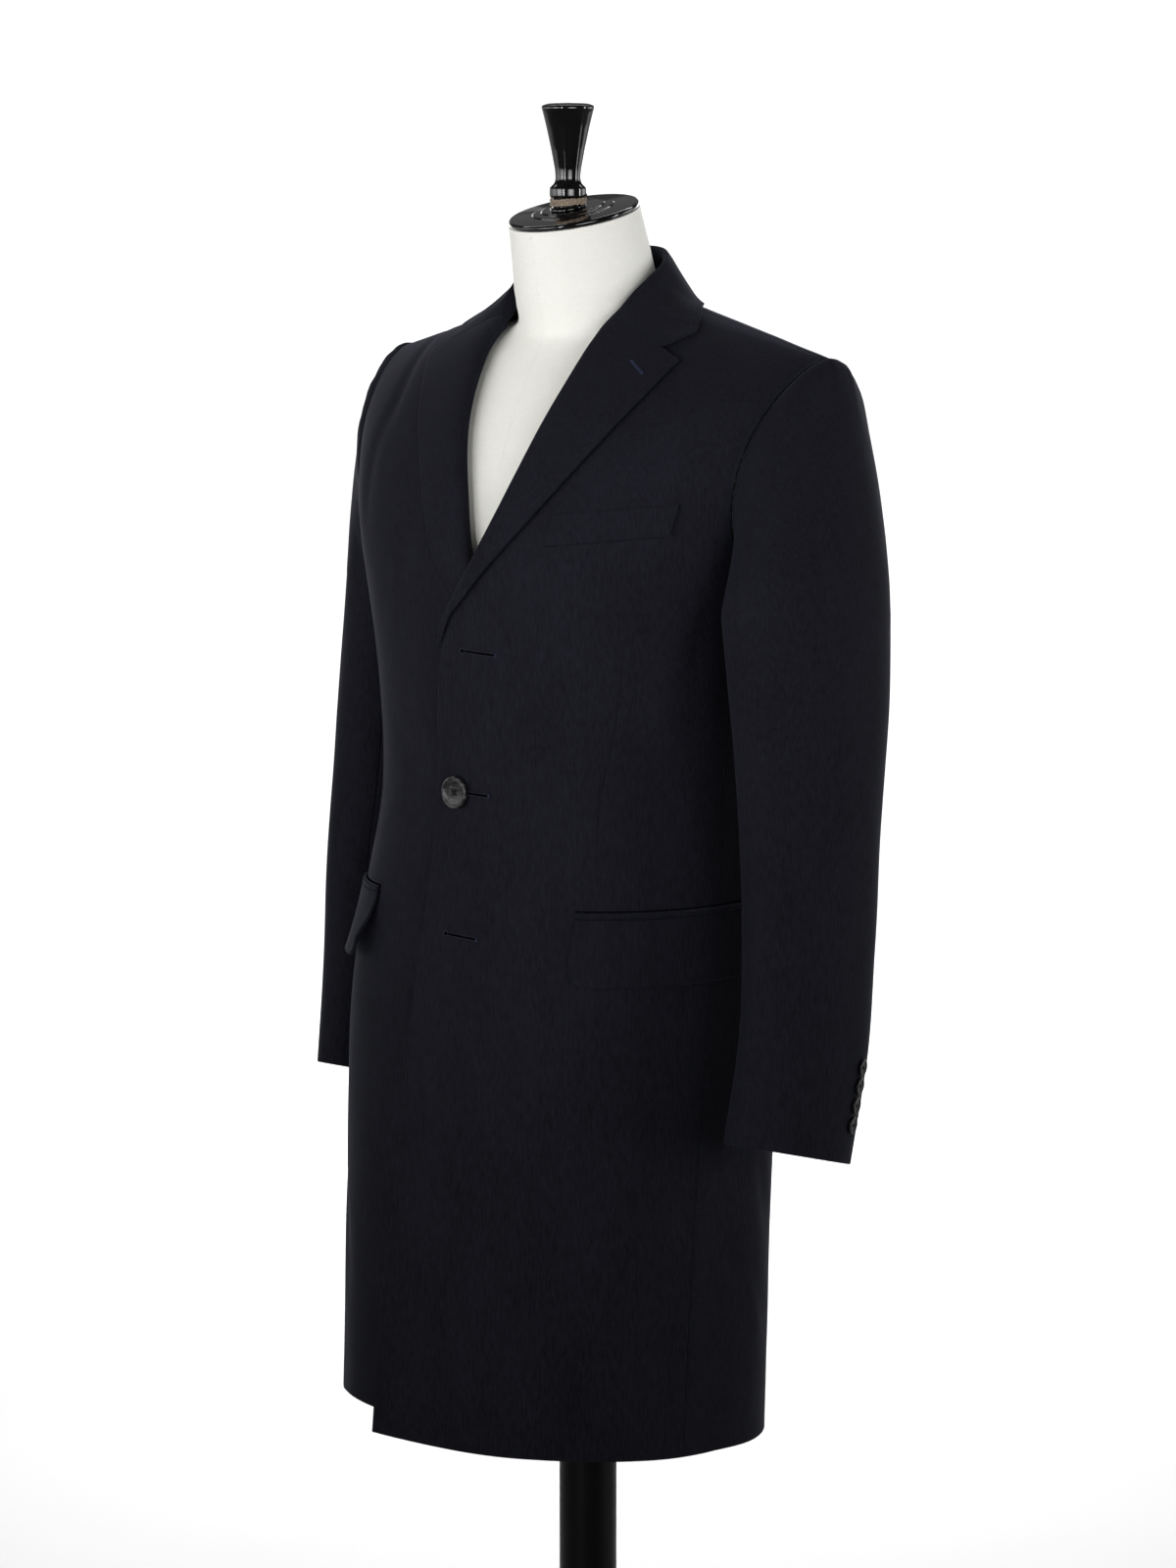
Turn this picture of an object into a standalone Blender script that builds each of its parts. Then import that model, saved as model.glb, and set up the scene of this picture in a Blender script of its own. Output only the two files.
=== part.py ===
"""A single-breasted wool overcoat on a limbless dress form.

Metres, +Z up. The coat's front faces -Y and the wearer's left is +X. The form's pole stands on the
Z axis until the last step, which moves everything so that the middle of its box is over the origin.
"""

import math

import bpy
import numpy as np
from mathutils import Matrix

# ---------------------------------------------------------------- driving sizes
CLOTH = 0.0026              # wall of the wool cloth
SEAM = 0.0003               # gap between two pieces that are sewn to each other
HEM_Z = 0.566               # in front
HEM_DROP = 0.016            # how much lower it hangs behind
HEM_TURN = (math.radians(40), math.radians(75))    # where it starts to drop, and over how much
ARMPIT_Z = 1.276
CHEST_Z = 1.280             # above this height the body closes in towards the shoulder line
SHOULDER_TOP = 1.520        # height of the shoulder line, carried on to the middle of the neck
SHOULDER_FALL = 0.276       # its slope towards the sleeve
NECK_ROUND = 0.020
SHOULDER_HALF = 0.230       # middle of the back to the sleeve seam
BACK_NECK_Z = 1.492
FRONT_FULL = (1.9, 1.7)     # how the chest and the back round over into the shoulder line
BACK_FULL = (2.6, 2.0)
ACROSS_HALF = 0.205         # half the width across the chest between the armholes
FRONT_SEAM = math.radians(84)
BACK_SEAM = math.radians(124)
ARMHOLE_FRONT = math.radians(147)
ARMHOLE_BACK = math.radians(118)
FLARE_Z = 1.12              # above this height the long seams turn towards the armhole
ARMHOLE_ROUND = 2.2         # how far down the armhole keeps the shoulder's width
BREAK_Z = 1.238             # where the lapel starts to turn
OPENING_TOP_Z = 1.4975
LEFT, RIGHT = 1, -1
NECK_HALF = {LEFT: 0.062, RIGHT: 0.078}         # middle of the back to the shoulder seam's inner end


class Table:
    """Named columns, read by a smooth curve that passes through every row."""

    def __init__(self, names, rows):
        data = np.array(rows, float)
        self.at = data[:, 0]
        self.values = {name: data[:, i] for i, name in enumerate(names)}
        self.slopes = {name: np.gradient(v, self.at) for name, v in self.values.items()}

    def __call__(self, name, where):
        where = np.clip(where, self.at[0], self.at[-1])
        i = np.clip(np.searchsorted(self.at, where, side="right") - 1, 0, len(self.at) - 2)
        step = self.at[i + 1] - self.at[i]
        t = (where - self.at[i]) / step
        values, slopes = self.values[name], self.slopes[name]
        rise = (2 * t**3 - 3 * t**2 + 1) * values[i] + (3 * t**2 - 2 * t**3) * values[i + 1]
        bend = (t**3 - 2 * t**2 + t) * slopes[i] + (t**3 - t**2) * slopes[i + 1]
        return rise + bend * step


# Sections of the worn coat: where the middle lies, half the width, how far the left front, the right
# front and the back reach from the pole, the line of the widest points and how square the section is.
BODY = Table(
    ("z", "shift", "wide", "front_l", "front_r", "back", "mid", "square"),
    (
        (0.560, -0.033, 0.188, 0.196, 0.143, 0.135, -0.020, 2.60),
        (0.750, -0.026, 0.187, 0.188, 0.151, 0.138, -0.018, 2.50),
        (0.950, -0.015, 0.184, 0.172, 0.157, 0.142, -0.012, 2.40),
        (1.020, -0.007, 0.179, 0.165, 0.156, 0.137, -0.008, 2.35),
        (1.090, -0.001, 0.171, 0.159, 0.154, 0.122, -0.004, 2.30),
        (1.180, 0.004, 0.181, 0.160, 0.153, 0.122, 0.000, 2.35),
        (1.280, 0.007, 0.204, 0.161, 0.150, 0.138, 0.008, 2.55),
        (1.340, 0.008, 0.224, 0.154, 0.145, 0.143, 0.014, 2.65),
        (1.400, 0.008, 0.242, 0.150, 0.144, 0.138, 0.018, 2.65),
        (1.520, 0.008, 0.262, 0.150, 0.144, 0.135, 0.020, 2.55),
    ),
)
# The turned edge of each front, from the hem up to the neck: its distance from the middle of the front.
OPENING = Table(
    ("z", "x_l", "x_r"),
    (
        (0.560, -0.034, -0.026),
        (0.660, -0.031, -0.025),
        (0.800, -0.022, -0.024),
        (1.000, -0.021, -0.024),
        (1.100, -0.024, -0.024),
        (1.200, -0.024, -0.024),
        (1.238, -0.017, -0.024),
        (1.295, 0.016, 0.0045),
        (1.350, 0.038, 0.0248),
        (1.400, 0.051, 0.0440),
        (1.443, 0.0568, 0.0590),
        (1.470, 0.0562, 0.0695),
        (1.488, 0.0555, 0.0725),
        (1.498, 0.0620, 0.0780),
    ),
)


def shoulder_z(x):
    return SHOULDER_TOP - SHOULDER_FALL * np.sqrt(x**2 + NECK_ROUND**2)


def closing_in(x, z, full):
    rise = np.clip((z - CHEST_Z) / (shoulder_z(x) - CHEST_Z), 0, 1)
    return (1 - rise ** full[0]) ** (1 / full[1])


def body_point(angle, z, side):
    """A point of the coat's outer face. The angle is 0 in front, 90 degrees at the side, 180 behind."""
    x = BODY("wide", z) * np.sin(angle)
    square = BODY("square", z)
    shape = (1 - np.abs(np.sin(angle)) ** square) ** (1 / square)
    middle = BODY("mid", z)
    front = BODY("front_l" if side == LEFT else "front_r", z)
    ahead = middle - (front + middle) * shape * closing_in(x, z, FRONT_FULL)
    behind = middle + (BODY("back", z) - middle) * shape * closing_in(x, z, BACK_FULL)
    y = np.where(np.cos(angle) > 0, ahead, behind)
    return np.stack([BODY("shift", z) + side * x, y, z + 0 * x], axis=-1)


def unit(vectors):
    return vectors / np.linalg.norm(vectors, axis=-1, keepdims=True)


def body_normal(angle, z, side):
    small = 0.002
    x = BODY("wide", z) * np.sin(angle)
    z = np.minimum(z, shoulder_z(x) - 2 * small)
    along = body_point(angle + small, z, side) - body_point(angle - small, z, side)
    up = body_point(angle, z + small, side) - body_point(angle, z - small, side)
    return unit(side * np.cross(along, up))


def front_angle(x, z):
    return np.arcsin(np.clip(x / BODY("wide", z), -1, 1))


# ---------------------------------------------------------------- meshes and walls
def material(name, colour, roughness, metallic=0.0):
    found = bpy.data.materials.get(name)
    if found:
        return found
    made = bpy.data.materials.new(name)
    made.use_nodes = True
    shader = made.node_tree.nodes["Principled BSDF"]
    shader.inputs["Base Color"].default_value = (*colour, 1.0)
    shader.inputs["Roughness"].default_value = roughness
    shader.inputs["Metallic"].default_value = metallic
    return made


def wool():
    return material("navy_wool", (0.011, 0.012, 0.018), 0.92)


def horn():
    return material("dark_horn", (0.014, 0.013, 0.015), 0.38)


def add_object(name, points, faces, finish):
    mesh = bpy.data.meshes.new(name)
    mesh.from_pydata([tuple(point) for point in points], [], faces)
    mesh.validate()
    mesh.materials.append(finish)
    mesh.shade_smooth()
    mesh.set_sharp_from_angle(angle=math.radians(40))
    thing = bpy.data.objects.new(name, mesh)
    bpy.context.collection.objects.link(thing)
    return thing


def patch_faces(rows, columns, first=0, flip=False):
    faces = []
    for row in range(rows - 1):
        for column in range(columns - 1):
            a = first + row * columns + column
            face = (a, a + 1, a + columns + 1, a + columns)
            faces.append(face[::-1] if flip else face)
    return faces


def shell(name, outer, inner, finish, flip=False):
    """A closed wall between two grids of points, both running along [row, column]."""
    rows, columns = outer.shape[:2]
    count = rows * columns
    faces = patch_faces(rows, columns) + patch_faces(rows, columns, count, True)
    bottom = list(range(columns))
    right = [row * columns + columns - 1 for row in range(1, rows)]
    top = [(rows - 1) * columns + column for column in range(columns - 2, -1, -1)]
    left = [row * columns for row in range(rows - 2, 0, -1)]
    rim = bottom + right + top + left
    turn_back = len(bottom + right + top) - 1
    for place, (a, b) in enumerate(zip(rim, rim[1:] + rim[:1])):
        quad = (a, a + count, b + count, b)
        # Seen from either piece of a seam, its two edges are split along the same diagonal.
        faces.append(quad[1:] + quad[:1] if place >= turn_back else quad)
    if flip:
        faces = [face[::-1] for face in faces]
    points = np.concatenate([outer.reshape(-1, 3), inner.reshape(-1, 3)])
    return add_object(name, points, faces, finish)


def pull_in(grid, sides, gap=SEAM / 2):
    """Moves the named borders of a grid of points into it, to leave the gap of a seam."""
    moved = grid.copy()
    for side in sides:
        edge, inside = {"bottom": (0, 1), "top": (-1, -2)}.get(side, (None, None))
        if edge is not None:
            moved[edge] += gap * unit(grid[inside] - grid[edge])
            continue
        edge, inside = (0, 1) if side == "left" else (-1, -2)
        moved[:, edge] += gap * unit(grid[:, inside] - grid[:, edge])
    return moved


def coons(left, right, bottom, top):
    """A patch that fills four border curves; left and right run by row, bottom and top by column."""
    v = np.linspace(0, 1, len(left))[:, None, None]
    u = np.linspace(0, 1, len(bottom))[None, :, None]
    sides = (1 - u) * left[:, None] + u * right[:, None]
    ends = (1 - v) * bottom[None, :] + v * top[None, :]
    corners = (1 - u) * (1 - v) * bottom[0] + u * (1 - v) * bottom[-1]
    corners = corners + (1 - u) * v * top[0] + u * v * top[-1]
    return sides + ends - corners


def spread(start, end, count, crowd=1.0):
    """Steps from start to end, crowded towards the end when crowd is over 1."""
    t = 1 - (1 - np.linspace(0, 1, count)) ** crowd
    return start + (end - start) * t


# ---------------------------------------------------------------- the six body panels
ROWS = 22                   # of the front and back panels, along their long seams
COLUMNS = 11
ARMHOLE_ROWS = 9            # of those rows, how many lie along the armhole
OPENING_ROWS = 12           # of those rows, how many lie below the break
BACK_CHEST_Z = 1.25         # from here up the rows of the back crowd towards the neck
NECK_SHARES = np.array([0.0, 0.45, 0.8])      # the columns of the back's neckline


def armhole(turn):
    """The armhole's curve in (angle, z); the turn is 0 at the shoulder and 180 degrees below."""
    down = (1 - np.cos(turn)) / 2
    bottom_half = float(BODY("wide", ARMPIT_Z))
    x = ACROSS_HALF + (SHOULDER_HALF - ACROSS_HALF) * (1 - down) ** ARMHOLE_ROUND
    x = x + (bottom_half - ACROSS_HALF) * down**3
    z = ARMPIT_Z + (shoulder_z(x) - ARMPIT_Z) * (1 - down)
    return front_angle(np.minimum(x, BODY("wide", z)), z), z


def armhole_curve(start, end, count, behind=False):
    angle, z = armhole(np.linspace(start, end, count))
    return np.stack([math.pi - angle if behind else angle, z], axis=-1)


def hem_z(angle):
    share = np.clip((angle - HEM_TURN[0]) / HEM_TURN[1], 0, 1)
    return HEM_Z - HEM_DROP * share**2 * (3 - 2 * share)


def seam_curve(low, high, count):
    """A long seam in (angle, z), from the hem at one angle to the armhole at another."""
    z = np.linspace(float(hem_z(low)), high[1], count)
    blend = np.clip((z - FLARE_Z) / (high[1] - FLARE_Z), 0, 1) ** 2
    return np.stack([low + (high[0] - low) * blend, z], axis=-1)


def hem_curve(start, end, count):
    angle = np.linspace(start, end, count)
    return np.stack([angle, hem_z(angle)], axis=-1)


def shoulder_curve(side, behind, count):
    x = np.linspace(NECK_HALF[side], SHOULDER_HALF, count)
    z = shoulder_z(x)
    angle = front_angle(x, z)
    return np.stack([math.pi - angle if behind else angle, z], axis=-1)


def body_panel(name, domain, side, seams, shoulder=False, flip=False):
    angle, z = domain[..., 0], domain[..., 1]
    outer = body_point(angle, z, side)
    normal = body_normal(angle, z, side)
    if shoulder:
        normal[-1, :, 1] = 0
        normal = unit(normal)
    inner = outer - CLOTH * normal
    outer, inner = pull_in(outer, seams), pull_in(inner, seams)
    return shell(name, outer, inner, wool(), flip != (side == RIGHT))


def opening_x(z, side):
    return OPENING("x_l" if side == LEFT else "x_r", z)


def opening_rows():
    """Heights of the front panels' rows of points along the opening."""
    low = np.linspace(HEM_Z, BREAK_Z, OPENING_ROWS)
    high = spread(BREAK_Z, OPENING_TOP_Z, ROWS - OPENING_ROWS + 1, 1.5)[1:]
    return np.concatenate([low, high])


def opening_curve(side):
    z = opening_rows()
    return np.stack([front_angle(opening_x(z, side), z), z], axis=-1)


def side_name(side):
    return "left" if side == LEFT else "right"


def front_domain(side):
    turn_high = armhole_curve(ARMHOLE_FRONT, 0, ARMHOLE_ROWS)
    low = seam_curve(FRONT_SEAM, turn_high[0], ROWS - ARMHOLE_ROWS + 1)
    outer = np.concatenate([low, turn_high[1:]])
    inner = opening_curve(side)
    inner[-1] = shoulder_curve(side, False, 2)[0]
    hem = hem_curve(inner[0, 0], outer[0, 0], COLUMNS)
    return coons(inner, outer, hem, shoulder_curve(side, False, COLUMNS))


def front_panel(side):
    seams = ("right", "top")
    return body_panel(f"coat_front_{side_name(side)}", front_domain(side), side, seams, True)


def side_panel(side):
    rows, columns = ROWS - ARMHOLE_ROWS + 1, 6
    front = armhole(np.array(ARMHOLE_FRONT))
    back = armhole(np.array(ARMHOLE_BACK))
    left = seam_curve(FRONT_SEAM, (float(front[0]), float(front[1])), rows)
    right = seam_curve(BACK_SEAM, (math.pi - float(back[0]), float(back[1])), rows)
    ahead = armhole_curve(ARMHOLE_FRONT, math.pi, 3)
    behind = armhole_curve(math.pi, ARMHOLE_BACK, 4, True)
    top = np.concatenate([ahead, behind[1:]])
    hem = hem_curve(FRONT_SEAM, BACK_SEAM, columns)
    domain = coons(left, right, hem, top)
    return body_panel(f"coat_side_{side_name(side)}", domain, side, ("left", "right"))


def back_panel(side):
    turn = armhole_curve(ARMHOLE_BACK, 0, ARMHOLE_ROWS, True)
    low = seam_curve(BACK_SEAM, turn[0], ROWS - ARMHOLE_ROWS + 1)
    outer = np.concatenate([low, turn[1:]])
    below = OPENING_ROWS + 1
    low_z = np.linspace(float(hem_z(math.pi)), BACK_CHEST_Z, below)
    high_z = spread(BACK_CHEST_Z, BACK_NECK_Z, ROWS - below + 1, 1.4)
    middle = np.stack([np.full(ROWS, math.pi), np.concatenate([low_z, high_z[1:]])], axis=-1)
    half = NECK_HALF[side]
    neck_x = half * NECK_SHARES
    neck_z = BACK_NECK_Z + (float(shoulder_z(half)) - BACK_NECK_Z) * NECK_SHARES**2
    neck = np.stack([math.pi - front_angle(neck_x, neck_z), neck_z], axis=-1)
    top = np.concatenate([neck, shoulder_curve(side, True, COLUMNS - len(neck))])[::-1]
    hem = hem_curve(BACK_SEAM, math.pi, COLUMNS)
    domain = coons(outer, middle, hem, top)
    seams = ("left", "right", "top")
    return body_panel(f"coat_back_{side_name(side)}", domain, side, seams, True)


# ---------------------------------------------------------------- pieces that lie on a panel
def laid_points(angle, z, side, height):
    """Points over the coat's outer face, each at its own height along the face's normal."""
    return body_point(angle, z, side) + height[..., None] * body_normal(angle, z, side)


def laid_wall(name, angle, z, side, height):
    outer = laid_points(angle, z, side, height)
    inner = laid_points(angle, z, side, height - CLOTH)
    return shell(name, outer, inner, wool(), side == RIGHT)


# The turned-back lapel's free edge: distance from the middle of the front, and height, by the share of
# the way from the break up to the point of the lapel.
LAPEL = Table(
    ("share", "x_l", "z_l", "x_r", "z_r"),
    (
        (0.00, -0.011, 1.240, -0.018, 1.240),
        (0.12, 0.012, 1.269, 0.012, 1.262),
        (0.24, 0.037, 1.296, 0.037, 1.288),
        (0.42, 0.069, 1.334, 0.060, 1.328),
        (0.62, 0.101, 1.378, 0.080, 1.370),
        (0.82, 0.127, 1.424, 0.111, 1.420),
        (1.00, 0.137, 1.4525, 0.137, 1.4525),
    ),
)
ROLL_TOP_Z = {LEFT: 1.4855, RIGHT: 1.4800}
# Across a lapel, from beside the turned edge out to the free edge: a fixed distance, a share of the
# width, and the height of the outer face over the front.
LAPEL_ROLL = (
    (-0.0037, 0.00, -0.0014),
    (-0.0035, 0.00, 0.0024),
    (-0.0004, 0.00, 0.0058),
    (0.0020, 0.14, 0.0072),
    (0.0010, 0.42, 0.0066),
    (0.0000, 0.72, 0.0056),
    (0.0000, 1.00, 0.0046),
)

LAPEL_LOW = 0.0041          # the same height at the break, where the lapel lies flat
LAPEL_TURNED = 0.25         # the share of its length over which it rises to those heights


def lapel_walls(side):
    key = "l" if side == LEFT else "r"
    share = np.linspace(0, 1, 15)
    roll_z = BREAK_Z + (ROLL_TOP_Z[side] - BREAK_Z) * share
    rows = opening_rows()
    roll_x = np.interp(roll_z, rows, opening_x(rows, side))
    edge_x, edge_z = LAPEL("x_" + key, share), LAPEL("z_" + key, share)
    reach = np.hypot(edge_x - roll_x, edge_z - roll_z)
    turned = np.clip(share / LAPEL_TURNED, 0, 1)
    xs, zs, heights = [], [], []
    for step, part, height in LAPEL_ROLL:
        along = (step + part * reach) / reach
        xs.append(roll_x + (edge_x - roll_x) * along)
        zs.append(roll_z + (edge_z - roll_z) * along)
        heights.append(LAPEL_LOW + (height - LAPEL_LOW) * turned)
    x, z, height = (np.stack(rows, axis=-1) for rows in (xs, zs, heights))
    angle = front_angle(x, z)
    outer = laid_points(angle, z, side, height)
    across = np.gradient(outer, axis=1)
    up = np.gradient(outer, axis=0)
    normal = unit(side * np.cross(across, up))
    return outer, outer - CLOTH * normal


def lapel(side):
    walls = (pull_in(grid, ("top",)) for grid in lapel_walls(side))
    return shell(f"coat_lapel_{side_name(side)}", *walls, wool(), side == RIGHT)


# Half of the collar, from the middle of the back (0) to its front end (7): the foot of the stand on
# the neck side, the top of the fold on the neck side, and the free edge of the fall.
COLLAR = Table(
    ("at", "foot_x", "foot_y", "foot_z", "fold_x", "fold_y", "fold_z", "edge_x", "edge_y", "edge_z"),
    (
        (0, 0.0000, 0.0745, 1.4940, 0.0000, 0.0620, 1.5430, 0.0000, 0.0920, 1.4935),
        (1, 0.0270, 0.0690, 1.4950, 0.0245, 0.0565, 1.5420, 0.0330, 0.0865, 1.4930),
        (2, 0.0480, 0.0540, 1.4980, 0.0455, 0.0415, 1.5390, 0.0625, 0.0680, 1.4925),
        (3, 0.0630, 0.0330, 1.5030, 0.0610, 0.0225, 1.5320, 0.0865, 0.0440, 1.4925),
        (4, 0.0650, 0.0120, 1.4985, 0.0670, 0.0035, 1.5240, 0.1030, 0.0220, 1.4915),
        (5, 0.0622, -0.0100, 1.4935, 0.0675, -0.0105, 1.5155, 0.1170, 0.0020, 1.4880),
        (6, 0.0607, -0.0240, 1.4885, 0.0645, -0.0245, 1.5050, 0.1245, -0.0120, 1.4820),
        (7, 0.0600, -0.0340, 1.4905, 0.0585, -0.0360, 1.4955, 0.1290, -0.0220, 1.4750),
    ),
)
NOTCH = (0.1060, 1.4685)    # inner corner of the notch: distance from the middle, height
COLLAR_RADIUS = CLOTH + 0.0006
COLLAR_LIFT = 1.9 * CLOTH   # least height of the fall's outer face over the coat
COLLAR_FALL = (0.36, 0.70)  # two lines between the fold and the edge, as shares of the fall's width
COLLAR_NOTCH = 0.06         # how much further out the first of them lies at the front end
SHOULDER_SECTION_Z = 1.47   # the height whose section the shoulders follow
# The fall spreads over the coat, whose middle is aside of the neck's: how far, behind and at the notch.
COLLAR_ASIDE = (0.003, 0.008)
# Its front ends are sewn to the tops of the lapels: how far each row, from an end on, is drawn there.
GORGE = (1.0, 0.71, 0.25, 0.03)


def shoulder_face(x, y):
    """The coat's outer face above a point (x from the middle, y) of the chest, shoulder or back."""
    z = SHOULDER_SECTION_Z
    square = float(BODY("square", z))
    share = float(np.clip(abs(x) / BODY("wide", z), 0, 1))
    shape = (1 - share**square) ** (1 / square)
    middle = float(BODY("mid", z))
    ahead = y < middle
    full = FRONT_FULL if ahead else BACK_FULL
    reach = (float(BODY("front_l", z)) + middle if ahead else float(BODY("back", z)) - middle) * shape
    share = min(abs(y - middle) / reach, 1.0)
    rise = (1 - share ** full[1]) ** (1 / full[0])
    return CHEST_Z + rise * (float(shoulder_z(x)) - CHEST_Z)


def collar_section(at):
    foot, fold, edge = (
        np.array([float(COLLAR(f"{name}_{axis}", at)) for axis in "xyz"])
        for name in ("foot", "fold", "edge")
    )
    out = edge - fold
    out[2] = 0
    out = unit(out)
    drop = np.array([0, 0, COLLAR_RADIUS])
    inside = fold - drop
    outside = inside + 2 * COLLAR_RADIUS * out
    crown = fold + COLLAR_RADIUS * out
    front_end = np.clip(at - 6, 0, 1)
    shares = (COLLAR_FALL[0] + COLLAR_NOTCH * front_end, COLLAR_FALL[1])
    low = [outside + (edge - outside) * share for share in shares] + [edge]
    notch_y = float(body_point(front_angle(*NOTCH), np.array(NOTCH[1]), LEFT)[1])
    notch = np.array([NOTCH[0], notch_y, NOTCH[1]])
    low[1] = low[1] + (notch - low[1]) * front_end
    low[0] = low[0] + ((outside + notch) / 2 - low[0]) * front_end
    for point in low:
        face = shoulder_face(point[0], point[1])
        point[2] = max(point[2], face + COLLAR_LIFT)
    middle = np.array([foot[0], *(foot + inside)[1:] / 2])     # the stand starts upright
    return [foot, middle, inside, crown, outside] + low


def collar():
    half = np.linspace(7, 0, 15)
    sections = np.array([collar_section(at) for at in half])
    outer = np.concatenate([sections, sections[-2::-1] * np.array([-1, 1, 1])])
    at = np.concatenate([half, half[-2::-1]])
    aside = COLLAR_ASIDE[0] + (COLLAR_ASIDE[1] - COLLAR_ASIDE[0]) * np.clip((at - 4) / 3, 0, 1)
    outer[..., 0] += aside[:, None] * np.array([0, 0, 0, 0, 0, *COLLAR_FALL, 1.0])
    ends = {LEFT: 0, RIGHT: -1}
    for side, end in ends.items():
        shift = gorge(lapel_walls(side)[0]) - outer[end, :-1]
        for step, share in enumerate(GORGE):
            outer[end + side * step, :-1] += share * shift
    along = np.gradient(outer, axis=0)
    across = np.gradient(outer, axis=1)
    inner = outer + CLOTH * unit(np.cross(along, across))
    for side, end in ends.items():
        inner[end, :-1] = gorge(lapel_walls(side)[1])
    walls = (pull_in(grid, ("bottom", "top"), SEAM) for grid in (outer, inner))
    return shell("coat_collar", *walls, wool())


def gorge(wall):
    """The line along a lapel's top, from the neck to the notch, that the collar's end is sewn to."""
    top = wall[-1]
    return np.concatenate([top[:1], (top[:1] + top[1:2]) / 2, top[1:6]])


# ---------------------------------------------------------------- sleeves
# Rings of a sleeve below its cap: 1 is the widest ring under the arm and 2 the cuff.
SLEEVE = Table(
    ("at", "z", "x_l", "y_l", "x_r", "y_r", "out", "in_l", "in_r", "deep_l", "deep_r", "tilt"),
    (
        (1.00, 1.256, 0.2620, -0.0345, 0.2415, 0.0500, 0.057, 0.050, 0.0400, 0.084, 0.071, 0.00),
        (1.15, 1.190, 0.2570, -0.0245, 0.2410, 0.0390, 0.056, 0.049, 0.0430, 0.078, 0.068, 0.04),
        (1.40, 1.085, 0.2525, -0.0166, 0.2430, 0.0210, 0.050, 0.046, 0.0440, 0.068, 0.062, 0.10),
        (1.65, 0.990, 0.2500, -0.0135, 0.2430, 0.0090, 0.046, 0.044, 0.0345, 0.064, 0.061, 0.16),
        (1.85, 0.905, 0.2490, -0.0180, 0.2430, 0.0035, 0.045, 0.043, 0.0335, 0.062, 0.061, 0.22),
        (2.00, 0.820, 0.2460, -0.0340, 0.2430, -0.0050, 0.044, 0.043, 0.0285, 0.061, 0.061, 0.26),
    ),
)
# Where the two sleeve seams run, as an angle round the sleeve: 0 outside, 90 degrees in front.
SLEEVE_SEAMS = Table(
    ("at", "fore", "hind"),
    ((0.0, 122, -78), (1.0, 124, -72), (1.5, 127, -56), (2.0, 130, -36)),
)


SLEEVE_CLEAR = 0.005        # share by which the sleeve head is smaller than the armhole
SLEEVE_OFF = 0.0005         # how far its edge stands out from the armhole
# How the cap leaves the armhole, rising and outwards, and how it arrives, as shares of the way.
CAP_LIFT = 0.20
CAP_OUT = 0.24
CAP_LEDGE = 0.006           # the least that it goes outwards
CAP_FALL = 0.55
SLEEVE_CUT = 9              # the row, half way up the upper arm, where the left sleeve's two lengths part


def sleeve_ring(turn, at, side):
    key = "l" if side == LEFT else "r"
    half = np.where(np.cos(turn) > 0, SLEEVE("out", at), SLEEVE("in_" + key, at))
    x = SLEEVE("x_" + key, at) + half * np.cos(turn)
    ahead = SLEEVE("deep_" + key, at) * np.sin(turn)
    z = SLEEVE("z", at) + SLEEVE("tilt", at) * ahead
    return np.stack([side * x, SLEEVE("y_" + key, at) - ahead, z], axis=-1)


def armhole_ring(turn, side):
    turn = np.mod(turn, 2 * math.pi)
    behind = turn > math.pi
    angle, z = armhole(np.where(behind, 2 * math.pi - turn, turn))
    ring = body_point(np.where(behind, math.pi - angle, angle), z, side)
    middle_z = (float(armhole(np.array(0.0))[1]) + ARMPIT_Z) / 2
    middle = np.array([0, float(BODY("mid", middle_z)), middle_z])
    clear = (middle - ring) * np.array([0, 1, 1]) * SLEEVE_CLEAR
    clear[..., 0] = side * SLEEVE_OFF
    return ring + clear


def sleeve_point(turn, at, side):
    """A point of the sleeve's outer face; at is 0 on the armhole, 1 under the arm and 2 at the cuff."""
    below = sleeve_ring(turn, np.maximum(at, 1.0), side)
    start = armhole_ring(turn, side)
    end = sleeve_ring(turn, 1.0 + 0 * at, side)
    far = np.linalg.norm(end - start, axis=-1)[..., None]
    lift = CAP_LIFT * np.clip(np.cos(turn), 0, 1)[..., None]
    leave = np.array([side, 0, 0]) * (CAP_OUT * far + CAP_LEDGE) + np.array([0, 0, 1]) * lift * far
    arrive = np.array([0, 0, -1]) * far * CAP_FALL
    t = np.clip(at, 0, 1)[..., None]
    cap = (2 * t**3 - 3 * t**2 + 1) * start + (3 * t**2 - 2 * t**3) * end
    cap = cap + (t**3 - 2 * t**2 + t) * leave + (t**3 - t**2) * arrive
    return np.where(np.asarray(at)[..., None] < 1, cap, below)


def sleeve_normal(turn, at, side):
    small = 0.01
    lower, higher = np.clip(at - small, 0, 2), np.clip(at + small, 0, 2)
    round_it = sleeve_point(turn + small, at, side) - sleeve_point(turn - small, at, side)
    down = sleeve_point(turn, higher, side) - sleeve_point(turn, lower, side)
    return unit(side * np.cross(round_it, down))


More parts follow.
